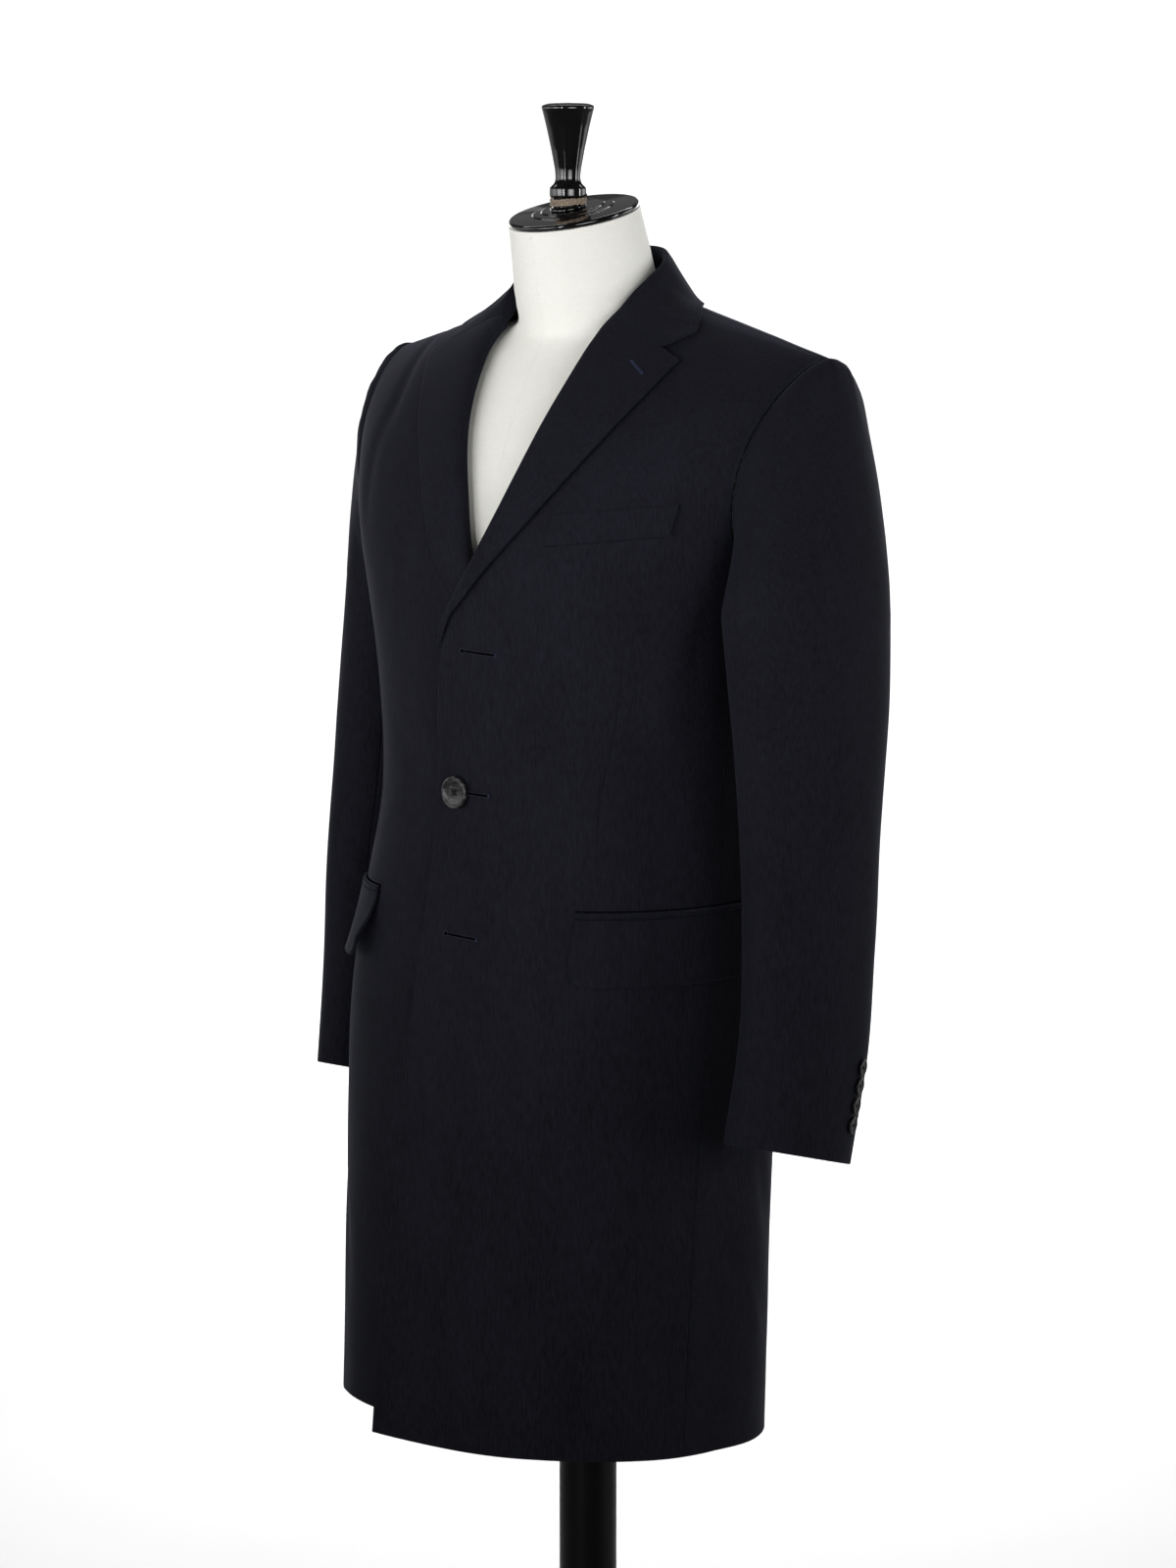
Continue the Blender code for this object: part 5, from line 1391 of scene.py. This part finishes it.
def ring_faces(rings, sides):
    """Faces of a closed tube of rings of points, with one face at each end."""
    faces = [tuple(range(sides))[::-1], tuple(range((rings - 1) * sides, rings * sides))]
    for ring in range(rings - 1):
        for i in range(sides):
            a, b = ring * sides + i, ring * sides + (i + 1) % sides
            faces.append((a, b, b + sides, a + sides))
    return faces


def join(parts):
    points, faces, first = [], [], 0
    for place, shape in parts:
        points.append(place)
        faces += [tuple(int(i) + first for i in face) for face in shape]
        first += len(place)
    return np.concatenate(points), faces


TUBE_UP = (0.13, 0.21, 0.97)    # the direction that a tube's rings start from


def tube(path, radius, sides):
    """Points and faces of a round thread along a path."""
    up = np.array(TUBE_UP)
    turns = [2 * math.pi * i / sides for i in range(sides)]
    points = []
    for place, way in zip(path, unit(np.gradient(path, axis=0))):
        up = unit(up - (up @ way) * way)
        side = np.cross(way, up)
        points += [place + radius * (math.cos(turn) * up + math.sin(turn) * side) for turn in turns]
    points = np.array(points)
    return points, turned_out(points, ring_faces(len(path), sides))


def evenly(path, step):
    """Points a step apart along a polyline, and which of its points lies next to each."""
    far = distances(path)
    at = np.arange(step / 2, far[-1], step)
    index = np.interp(at, far, np.arange(len(path)))
    return read_at(path, far, at), np.round(index).astype(int)


PICK_STEP = 0.0078
PICK_SIZE = (0.0009, 0.00024, 0.00016)      # half a stitch's length, width and height
# Its rings: where along it, and their size.
PICK_SHAPE = ((-1.0, 0.30), (-0.72, 0.85), (0.0, 1.0), (0.72, 0.85), (1.0, 0.30))
PICK_SIDES = 6
PICK_SUNK = 0.00030         # how deep the stitches lie along the fronts' edges
PICK_UP = 0.00002           # and how high on the lapels and the collar
PICK_IN = 0.0068            # from their free edge to the stitches
LAPEL_STITCHED = 50         # the row of a lapel from which on it is wide enough for them
EDGE_STITCHED = (HEM_Z + 0.006, BREAK_Z - 0.014)      # the heights between which a front has them


def stitches(name, path, normals):
    """A row of short laid threads, one on each point of a path, in one mesh."""
    long, wide, high = PICK_SIZE
    turns = (np.arange(PICK_SIDES) * 2 * math.pi / PICK_SIDES)[:, None]
    parts = []
    for place, way, normal, across in zip(path, *frames_of(path, normals)):
        ring = wide * np.cos(turns) * across + high * np.sin(turns) * normal
        rings = [place + long * along * way + size * ring for along, size in PICK_SHAPE]
        parts.append((np.concatenate(rings), ring_faces(len(rings), PICK_SIDES)))
    points, faces = join(parts)
    return add_mesh(name, points, turned_out(points, faces), PICK)


def stitches_beside(name, grid, normals):
    """Stitches at an even distance from the last column of a grid of points."""
    path, ups = [], []
    for row, up in zip(grid[:, ::-1], normals[:, ::-1]):
        far = distances(row)
        path.append(read_at(row, far, PICK_IN))
        ups.append(read_at(up, far, PICK_IN))
    where, index = evenly(np.array(path), PICK_STEP)
    normal = np.array(ups)[index]
    return stitches(name, where + PICK_UP * normal, normal)


def pick_stitches():
    for side in (LEFT, RIGHT):
        z = np.linspace(*EDGE_STITCHED, 400)
        path, normals = on_front(opening_x(z, side) + STITCH_IN, z, side, -PICK_SUNK)
        where, index = evenly(path, PICK_STEP)
        stitches(f"edge_stitch_{side_name(side)}", where, normals[index])
        wide = (grid[LAPEL_STITCHED:] for grid in turned_grids[side])
        stitches_beside(f"lapel_stitch_{side_name(side)}", *wide)
    stitches_beside("collar_stitch", *turned_grids["collar"])


# Buttonholes of the left front: height at the front end, from the middle of the front to its front
# and hind end, and how far it drops towards the hind end.
BUTTONHOLES = (
    ("top", 1.2205, 0.0026, 0.0385, 0.0014),
    ("middle", 1.1045, 0.0000, 0.0335, 0.0006),
    ("low", 0.9890, 0.0058, 0.0388, 0.0020),
)
# The radius of a hole's eyelet, from its middle to the purls, half their length and their
# thickness.
FRONT_PURLS = (0.0023, 0.0013, 0.00045, 0.00026)
LAPEL_PURLS = (0.0, 0.0007, 0.0006, 0.00034)
PURL_STEP = 0.00085
PURL_UP = 0.0004            # how high over the cloth they lie
PURL_ENDS, PURL_CROWN = 0.0002, 0.00015       # how far their ends dip and their middle rises
PURL_STEPS, PURL_SIDES = 3, 6                 # steps in each half of them, and corners round them
EYE_OPEN = 0.55             # half the turn that an eyelet leaves open towards its slit
EYE_PURLS = 19
EYE_STEPS = 3               # the purls of the slit that an eyelet takes the place of
EYE_HOLE = (0.0013, 0.00015, 12)              # its painted-shadow disc, dark in the eyelet: radius, height and corners
BAR_STEPS = (0.0, 0.0005, 0.0010, 0.0015)     # the bar's threads, from the slit's end on
# How far the painted-shadow strip of a slit lies over the cloth, and how thick it and the eyelet's
# disc are.
SLIT_UP, SLIT_DEEP = 0.00008, 0.0004
# The ends of the lapel's buttonhole: from the middle of the front, and height.
LAPEL_HOLE = ((0.1035, 1.4545), (0.1169, 1.4454))


def thread_rows(rows, half, thick):
    """Short bowed threads from (place, way, up), each laid across its place along its way."""
    parts = []
    for place, way, up in rows:
        dip, middle = PURL_ENDS * up, place + PURL_CROWN * up
        ends = (place - half * way - dip, middle, place + half * way - dip)
        parts.append(tube(refine(np.array(ends), PURL_STEPS), thick, PURL_SIDES))
    return join(parts)


def buttonhole(name, path, normals, purls, finish):
    """Purl stitches round a slit that starts with an eyelet, and a bar at its other end."""
    eye, gap, half, thick = purls
    where, index = evenly(path, PURL_STEP)
    way, normal, across = frames_of(where, normals[index])
    centre = where[0]
    rows = []
    if eye:
        for turn in np.linspace(EYE_OPEN, 2 * math.pi - EYE_OPEN, EYE_PURLS):
            spoke = math.cos(turn) * way[0] + math.sin(turn) * across[0]
            rows.append((centre + eye * spoke + PURL_UP * normal[0], spoke, normal[0]))
        where, way, normal, across = (field[EYE_STEPS:] for field in (where, way, normal, across))
    for sign in (1, -1):
        rows += zip(where + sign * gap * across + PURL_UP * normal, across, normal)
    add_mesh(name, *thread_rows(rows, half, thick), finish)
    last, up = where[-1] + PURL_UP * normal[-1], normal[-1]
    bar = [(last + step * way[-1], across[-1], up) for step in BAR_STEPS]
    add_mesh(name + "_bar", *thread_rows(bar, gap + half, thick), THREAD)
    # Painted shade: a dark strip along the slit and a dark disc in the eyelet, where the opening
    # lies in shadow.
    share = (gap - half) * np.linspace(-1, 1, 5)[None, :, None]
    strip = (where + SLIT_UP * normal)[:, None] + share * across[:, None]
    ups = np.broadcast_to(normal[:, None], strip.shape)
    parts = [cloth_arrays(strip, ups, *THIN, wall=SLIT_DEEP)]
    if eye:
        radius, high, corners = EYE_HOLE
        turns = (np.arange(corners) * 2 * math.pi / corners)[:, None]
        rim = np.cos(turns) * way[0] + np.sin(turns) * across[0]
        disc = centre + radius * rim + high * normal[0]
        points = np.concatenate([disc, disc - SLIT_DEEP * normal[0]])
        parts.append((points, turned_out(points, ring_faces(2, corners))))
    return add_mesh(name + "_slit_shadow", *join(parts), PAINTED_SHADE)


def between(field, places):
    """Values of a grid at places (row, column) that lie between its points."""
    low = np.minimum(np.floor(places).astype(int), np.array(field.shape[:2]) - 2)
    row, column = low.T
    r, c = (places - low).T[..., None]
    near = (1 - c) * field[row, column] + c * field[row, column + 1]
    return (1 - r) * near + r * ((1 - c) * field[row + 1, column] + c * field[row + 1, column + 1])


def buttonholes():
    for name, z0, x0, x1, drop in BUTTONHOLES:
        share = np.linspace(0, 1, 60)
        hole = on_front(x0 + (x1 - x0) * share, z0 - drop * share, LEFT)
        buttonhole(f"buttonhole_{name}", *hole, FRONT_PURLS, PURL)
    grid = turned_grids[LEFT][0]
    outer = slice(LAPEL_FINE[1] * (len(FACING) + 2), None)    # the columns of its outer face
    flat = np.stack([grid[:, outer, 0] - float(BODY("shift", 1.45)), grid[:, outer, 2]], axis=-1)
    ends = []
    for target in LAPEL_HOLE:
        far = np.linalg.norm(flat - np.array(target), axis=-1)
        ends.append(np.unravel_index(np.argmin(far), far.shape) + np.array([0, outer.start]))
    places = np.linspace(*ends, 40)
    hole = (between(field, places) for field in turned_grids[LEFT])
    buttonhole("buttonhole_lapel", *hole, LAPEL_PURLS, THREAD)


# ================================================================ buttons
# A button's turned profile as shares of its radius: foot, rim and dish.
BUTTON_PROFILE = (
    (0.00, 0.00), (0.78, 0.00), (0.92, 0.035), (0.985, 0.10), (1.00, 0.17), (0.99, 0.245),
    (0.955, 0.300), (0.90, 0.325), (0.845, 0.315), (0.79, 0.275), (0.73, 0.245), (0.60, 0.228),
    (0.30, 0.215), (0.00, 0.212),
)
BUTTON_SIDES = 56
HOLE_OUT = 0.185            # from the middle to a hole, as a share of the radius
HOLE_WIDE = 0.075
HOLE_REACH = (-0.1, 0.5)    # the heights between which the drill passes
HOLE_SIDES = 16
# Half of a thread that crosses a button, from one hole to the middle: how far past the hole, or as
# a share of the way in, the height, and what the upper thread adds to it.
THREAD_ARCH = ((0.01, 0.06, 0), (0, 0.20, 0), (-0.4, 0.262, 0.02), (-1, 0.272, 0.035))
THREAD_BESIDE, THREAD_THICK = 0.026, 0.030    # half the distance of two threads, and their radius
THREAD_STEPS, THREAD_SIDES = 3, 7
SHANK = ((0.20, -1), (0.17, 0.004))           # its radius below and above, and where it ends
SHANK_SIDES = 12


def lathe(profile, sides, slope=0.0):
    """Points and faces of a profile of (radius, height) turned about Z."""
    points, rings, faces = [], [], []
    for radius, high in profile:
        count = sides if radius else 1
        rings.append(list(range(len(points), len(points) + count)))
        for step in range(count):
            turn = 2 * math.pi * step / sides
            x, y = radius * math.cos(turn), radius * math.sin(turn)
            points.append((x, y, high + slope * y * max(0.0, 1 - high / SLOPE_HIGH)))
    pairs = list(zip(rings, rings[1:]))
    if profile[0][0]:
        pairs.append((rings[-1], rings[0]))
    for low, high in pairs:
        for step in range(sides):
            after = (step + 1) % sides
            if len(low) == 1:
                faces.append((low[0], high[after], high[step]))
            elif len(high) == 1:
                faces.append((low[step], low[after], high[0]))
            else:
                faces.append((low[step], low[after], high[after], high[step]))
    points = np.array(points)
    return points, turned_out(points, faces)


FILLET_MOST = 0.45          # the most of an edge that a rounded corner takes up


def fillet(profile, radius, steps=4):
    """Rounds the corners of a profile."""
    corners = [np.array(point, float) for point in profile]
    out = [corners[0]]
    for before, corner, after in zip(corners, corners[1:], corners[2:]):
        start, end = (
            corner + (other - corner) * min(radius / np.linalg.norm(other - corner), FILLET_MOST)
            for other in (before, after)
        )
        for t in np.linspace(0, 1, steps + 1):
            out.append((1 - t) ** 2 * start + 2 * t * (1 - t) * corner + t * t * end)
    out.append(corners[-1])
    return [(float(a), float(b)) for a, b in out]


def drilled_button():
    """A button of radius 1 with four holes."""
    disc = new_object("disc", new_mesh("disc", *lathe(BUTTON_PROFILE, BUTTON_SIDES)))
    low, high = HOLE_REACH
    drills = []
    for corner in range(4):
        turn = math.pi / 4 + corner * math.pi / 2
        pin = ((0, low), (HOLE_WIDE, low), (HOLE_WIDE, high), (0, high))
        points, faces = lathe(pin, HOLE_SIDES)
        drills.append((points + HOLE_OUT * np.array([math.cos(turn), math.sin(turn), 0]), faces))
    drill = new_object("drill", new_mesh("drill", *join(drills)))
    cut = disc.modifiers.new("holes", "BOOLEAN")
    cut.operation, cut.solver, cut.object = "DIFFERENCE", "EXACT", drill
    bpy.context.view_layer.update()
    made = disc.evaluated_get(bpy.context.evaluated_depsgraph_get()).to_mesh()
    points = np.array([vertex.co[:] for vertex in made.vertices])
    faces = [tuple(polygon.vertices) for polygon in made.polygons]
    for thing in (disc, drill):
        bpy.data.objects.remove(thing, do_unlink=True)
    return points, faces


BUTTON = drilled_button()


def axes_to(forward, up=(0, 0, 1)):
    """Columns: aside, up and forward."""
    forward = unit(np.array(forward, float))
    aside = unit(np.cross(up, forward))
    return np.stack([aside, np.cross(forward, aside), forward], axis=1)


def button_thread(lift):
    """Crossed threads through the holes of a button of radius 1, and the shank behind it."""
    half = [(-HOLE_OUT - out if out >= 0 else (-1 - out) * HOLE_OUT, high, rise)
            for out, high, rise in THREAD_ARCH]
    arch = half + [(-out, high, rise) for out, high, rise in half[-2::-1]]
    parts = []
    for corner in range(2):
        angle = math.pi / 4 + corner * math.pi / 2
        spoke = np.array([math.cos(angle), math.sin(angle), 0])
        beside = np.array([-math.sin(angle), math.cos(angle), 0])
        for shift in (-THREAD_BESIDE, THREAD_BESIDE):
            line = [out * spoke + shift * beside + np.array([0, 0, high + rise * corner])
                    for out, high, rise in arch]
            line = smooth_rows(np.array(line)[:, None], THREAD_STEPS)[:, 0]
            parts.append(tube(line, THREAD_THICK, THREAD_SIDES))
    (low, foot), (top, end) = SHANK
    parts.append(lathe(((0, foot * lift), (low, foot * lift), (top, end), (0, end)), SHANK_SIDES))
    return join(parts)


def button(node, radius, place, forward, lift, spin, horn):
    cos, sin = math.cos(spin), math.sin(spin)
    turn = axes_to(forward) @ np.array([[cos, -sin, 0], [sin, cos, 0], [0, 0, 1]])
    points, faces = BUTTON
    add_mesh(node + "_horn", place + radius * points @ turn.T, faces, horn, "horn", (node,), 35)
    points, faces = button_thread(lift / radius)
    add_mesh(node + "_thread", place + radius * points @ turn.T, faces, PICK)


FRONT_BUTTON_SPIN = 0.12
CUFF_BUTTON_SPIN = 0.5      # how far each is turned from the one before


def buttons():
    place, normal = on_front(0.0, np.array(FRONT_BUTTON_Z), LEFT, FRONT_BUTTON_LIFT)
    button("front_button", FRONT_BUTTON, place, normal, FRONT_BUTTON_LIFT, FRONT_BUTTON_SPIN, HORN)
    above, cuff = SLEEVE.at[-2:]
    length = float(SLEEVE("z", above) - SLEEVE("z", cuff)) / (cuff - above)
    for side in (LEFT, RIGHT):
        for number in range(CUFF_BUTTONS):
            at = np.array(cuff - (CUFF_BUTTON_FIRST + number * CUFF_BUTTON_STEP) / length)
            turn = np.radians(CUFF_BUTTON_TURN - CUFF_BUTTON_SLANT * (cuff - at))
            normal = sleeve_normal(turn, at, side)
            rise = CUFF_BUTTON_LIFT + float(sleeve_drape(turn, at, side))
            place = sleeve_point(turn, at, side) + rise * normal
            name = f"cuff_button_{side_name(side)}_{number + 1}"
            spin = CUFF_BUTTON_SPIN * number
            button(name, CUFF_BUTTON, place, normal, CUFF_BUTTON_LIFT, spin, SHADED_HORN)


# ================================================================ the dress form and its stand
FORM_FINE = 6               # steps between two of the form's rings, and between two of its sides
# Half the form's front seam: across, and over the cover; its two welts meet in the middle.
FORM_SEAM = ((-0.0013, -0.0003), (-0.0009, 0.00012), (-0.0002, 0.00022), (0.0, 0.00002))
FORM_SEAM_DEEP = 0.0006


def form_grid():
    """Fine rings of the form's body and neck."""
    chest = np.linspace(FORM_FOOT_Z, FORM_CHEST_Z, FORM_CHEST_RINGS)
    rings = [form_body_ring(z) for z in (*chest, *FORM_HIGH_Z)]
    rings += [form_neck_ring(share) for share in NECK_RINGS]
    rings = smooth_rows(np.array(rings), FORM_FINE)
    wide = np.concatenate([rings[:, -3:], rings, rings[:, :4]], axis=1)
    wide = refine(wide.transpose(1, 0, 2), FORM_FINE).transpose(1, 0, 2)
    return wide[:, 3 * FORM_FINE : (3 + FORM_SIDES) * FORM_FINE]


def closed_grid(name, grid, sharp=None):
    """A piece of the form's cover from rings of points."""
    points = grid.reshape(-1, 3)
    faces = turned_out(points, ring_faces(*grid.shape[:2]))
    nodes = ("form_torso",) if name == "form_cover" else ()
    return add_mesh(name, points, faces, CREAM, "form_cloth", nodes, sharp)


def dress_form():
    rings = form_grid()
    closed_grid("form_cover", rings, 60)
    front = int(round(0.75 * rings.shape[1]))
    line = rings[:, front]
    beside = unit(rings[:, front + 1] - rings[:, front - 1])
    out = unit(np.cross(beside, unit(np.gradient(line, axis=0))))
    section = FORM_SEAM + tuple((-across, up) for across, up in FORM_SEAM[-2::-1])
    outer = np.stack([line + across * beside + up * out for across, up in section], axis=1)[2:-1]
    inner = outer - FORM_SEAM_DEEP * out[2:-1, None]
    closed_grid("form_seam", np.concatenate([outer, inner[:, ::-1]], axis=1))


def turned(name, profile, sides, place, forward, finish, node, slope=0.0, sharp=40):
    """A turned, lacquered or painted piece that stands for a node."""
    points, faces = lathe(profile, sides, slope)
    turn = np.eye(3) if forward is None else axes_to(forward, (1, 0, 0))
    return add_mesh(name, place + points @ turn.T, faces, finish, "gloss_black", (node,), sharp)


def stand():
    lean = math.tan(NECK_LEAN)
    axis = neck_axis(1.0) - neck_axis(0.0)
    place = neck_axis(CAP_ALONG + SEAM)
    turned("neck_cap_lacquer", fillet(CAP_PROFILE, 0.0009), 120, place, axis, LACQUER, "neck_cap")
    top = neck_axis(CAP_ALONG + CAP_PROFILE[-1][1] + 2 * SEAM)
    foot = np.array([0.0, FINIAL_Y, top[2] + lean * (FINIAL_Y - top[1])])
    knob = fillet(FINIAL_PROFILE, 0.0022)
    turned("finial_lacquer", knob, 80, foot, None, LACQUER, "finial", lean, 60)
    binding(foot, lean)
    low, high = BASE_HIGH + SEAM, FORM_FOOT_Z - SEAM
    pole = ((0, low), (POLE_RADIUS, low), (POLE_RADIUS, high), (0, high))
    turned("pole_paint", fillet(pole, 0.0008), 72, np.zeros(3), None, SATIN, "pole")
    inside, edge_z = BASE_RADIUS - BASE_EDGE, BASE_HIGH - BASE_EDGE
    rim = ((inside, 0), (BASE_RADIUS, BASE_EDGE), (BASE_RADIUS, edge_z), (inside, BASE_HIGH))
    base = ((0, 0), *rim, (0, BASE_HIGH))
    turned("base_paint", fillet(base, 0.0012), 128, np.zeros(3), None, SATIN, "base")


CORD = 0.00098              # radius of the jute cord
CORD_PLY = 0.78             # radius of each of its two plies, as a share of it
CORD_TWIST, CORD_TWISTS = 0.00030, 9          # from the cord's middle to a ply's, and twists a turn
CORD_TURNS = 3.6
CORD_STEPS = 48             # a turn
CORD_OUT = 0.01405          # from the finial's axis to the cord's middle
CORD_LOW, CORD_HIGH = 0.0031, 0.0082
CORD_WOBBLE = ((0.00018, 5.3, 1), (0.00012, 11, 2))   # how far, how often a turn, and its start


def binding(foot, lean):
    """The jute cord wound round the finial's foot, in two plies laid side by side."""
    parts = []
    for ply in range(2):
        line = []
        for step in range(int(CORD_TURNS * CORD_STEPS) + 1):
            turn = 2 * math.pi * step / CORD_STEPS
            wobble = sum(far * math.sin(often * turn + at * ply) for far, often, at in CORD_WOBBLE)
            around = CORD_TWISTS * turn + math.pi * ply
            out = CORD_OUT + wobble + CORD_TWIST * math.cos(around)
            high = CORD_LOW + (CORD_HIGH - CORD_LOW) * step / (CORD_TURNS * CORD_STEPS)
            high += wobble + CORD_TWIST * math.sin(around)
            x, y = out * math.cos(turn), out * math.sin(turn)
            line.append((x, y, high + lean * y * max(0.0, 1 - high / SLOPE_HIGH)))
        parts.append(tube(np.array(line), CORD_PLY * CORD, 8))
    points, faces = join(parts)
    add_mesh("finial_cord", foot + points, faces, JUTE, "jute", ("finial_binding",))


# ================================================================ make the object
for side in (LEFT, RIGHT):
    front(side)
    side_of_coat(side)
    back(side)
    lapel(side)
    sleeve_piece("sleeve_top", side, False, 66)
    sleeve_piece("sleeve_under", side, True, 42)
    pocket_flap(side)
    for number in range(len(JET_LINES)):
        jet_painted_shadow(side, number)
collar()
chest_welt()
dress_form()
stand()
buttons()
buttonholes()
pick_stitches()

# ================================================================ floor, light and camera
CAMERA_TURN = math.radians(42)
CAMERA_DOWN = math.radians(7.5)
CAMERA_FAR, CAMERA_HIGH = 4.06, 1.63
CAMERA_LENS, SENSOR = 112.4, 36.0
FLOOR_Z = -0.0004
FLOOR_FLAT, FLOOR_BEND = 6.0, 3.0             # radius of its flat part and of the bend behind it
FLOOR_SIDES = 72
FLOOR_GREY = 0.80
WORLD_LIGHT = 0.05
# Soft lights all round at the height of the shoulders: their turn, power, width and height.
RING_LIGHTS = (
    (-45, 1.3, 1.4, 1.3), (-10, 3.1, 1.4, 1.3), (16, 2.2, 0.22, 2.4), (60, 3.4, 1.4, 1.3),
    (118, 2.2, 0.22, 2.4), (150, 1.3, 1.4, 1.3), (200, 1.5, 1.4, 1.3), (245, 0.9, 1.4, 1.3),
    (290, 0.4, 1.4, 1.3),
)
RING_FAR, RING_HIGH, RING_AIM, RING_SPREAD = 2.2, 1.62, 1.53, 50
# Lights behind the object: name, distance, height, the height they aim at, width and height, power,
# spread, and whether they point away from it, at the floor and the far wall.
BEHIND = 222
BACK_LIGHTS = (
    ("back", 3.0, 3.1, 1.55, (2.4, 1.0), 0.7, 180, False),
    ("ground", 1.5, 3.20, -0.8, (2.4, 1.2), 115, 150, True),
    ("wall", 3.2, 3.40, 0.6, (3.0, 1.2), 240, 150, True),
)
OUTWARDS = 2.5              # where such a light aims, in its own distances from the axis


def backdrop():
    """A pale floor that curves up far behind the object, all round."""
    profile = [(0.0, FLOOR_Z), (FLOOR_FLAT, FLOOR_Z)]
    for turn in np.linspace(0.1, 1.5, 12):
        high = FLOOR_BEND - FLOOR_BEND * math.cos(turn) + FLOOR_Z
        profile.append((FLOOR_FLAT + FLOOR_BEND * math.sin(turn), high))
    mesh = new_mesh("floor", *lathe(profile, FLOOR_SIDES))
    made = Finish("pale_floor", Roughness=0.9, Specular_IOR_Level=0.1)
    stops = ((0.3, (0.985 * FLOOR_GREY,) * 3), (0.7, (FLOOR_GREY,) * 3))
    mesh.materials.append(made.done(made.ramp(made.noise(3.0, 2.0), stops)))
    mesh.shade_smooth()
    new_object("floor", mesh)


def soft_light(name, turn, far, high, aim, size, power, spread, outwards=False):
    """A soft rectangular light at an angle round the object, pointed at it or away from it."""
    data = bpy.data.lights.new(name, "AREA")
    data.shape, data.size, data.size_y = "RECTANGLE", size[0], size[1]
    data.energy, data.spread = power, math.radians(spread)
    lamp = new_object(name, data)
    turn = math.radians(turn)
    place = Vector((far * math.sin(turn), -far * math.cos(turn), high))
    target = Vector((0, 0, aim))
    if outwards:
        target += OUTWARDS * Vector((place.x, place.y, 0))
    lamp.location = place
    lamp.rotation_euler = (target - place).to_track_quat("-Z", "Y").to_euler()
    lamp.visible_camera = False


def lights():
    world = bpy.data.worlds.new("studio")
    world.use_nodes = True
    sky = world.node_tree.nodes["Background"].inputs
    sky["Color"].default_value = (1.0, 1.0, 1.0, 1.0)
    sky["Strength"].default_value = WORLD_LIGHT
    bpy.context.scene.world = world
    for turn, power, *size in RING_LIGHTS:
        soft_light(f"ring_{turn}", turn, RING_FAR, RING_HIGH, RING_AIM, size, power, RING_SPREAD)
    for name, *light in BACK_LIGHTS:
        soft_light(name, BEHIND, *light)


def photo_camera():
    data = bpy.data.cameras.new("photo_camera")
    data.lens, data.sensor_width, data.sensor_fit = CAMERA_LENS, SENSOR, "AUTO"
    camera = new_object("photo_camera", data)
    away = Vector((math.sin(CAMERA_TURN), -math.cos(CAMERA_TURN), 0))
    camera.location = Vector((MOVE[0], MOVE[1], CAMERA_HIGH)) + CAMERA_FAR * away
    look = -math.cos(CAMERA_DOWN) * away - Vector((0, 0, math.sin(CAMERA_DOWN)))
    camera.rotation_euler = look.to_track_quat("-Z", "Y").to_euler()
    bpy.context.scene.camera = camera


backdrop()
lights()
photo_camera()
bpy.context.scene.view_settings.view_transform = "Standard"
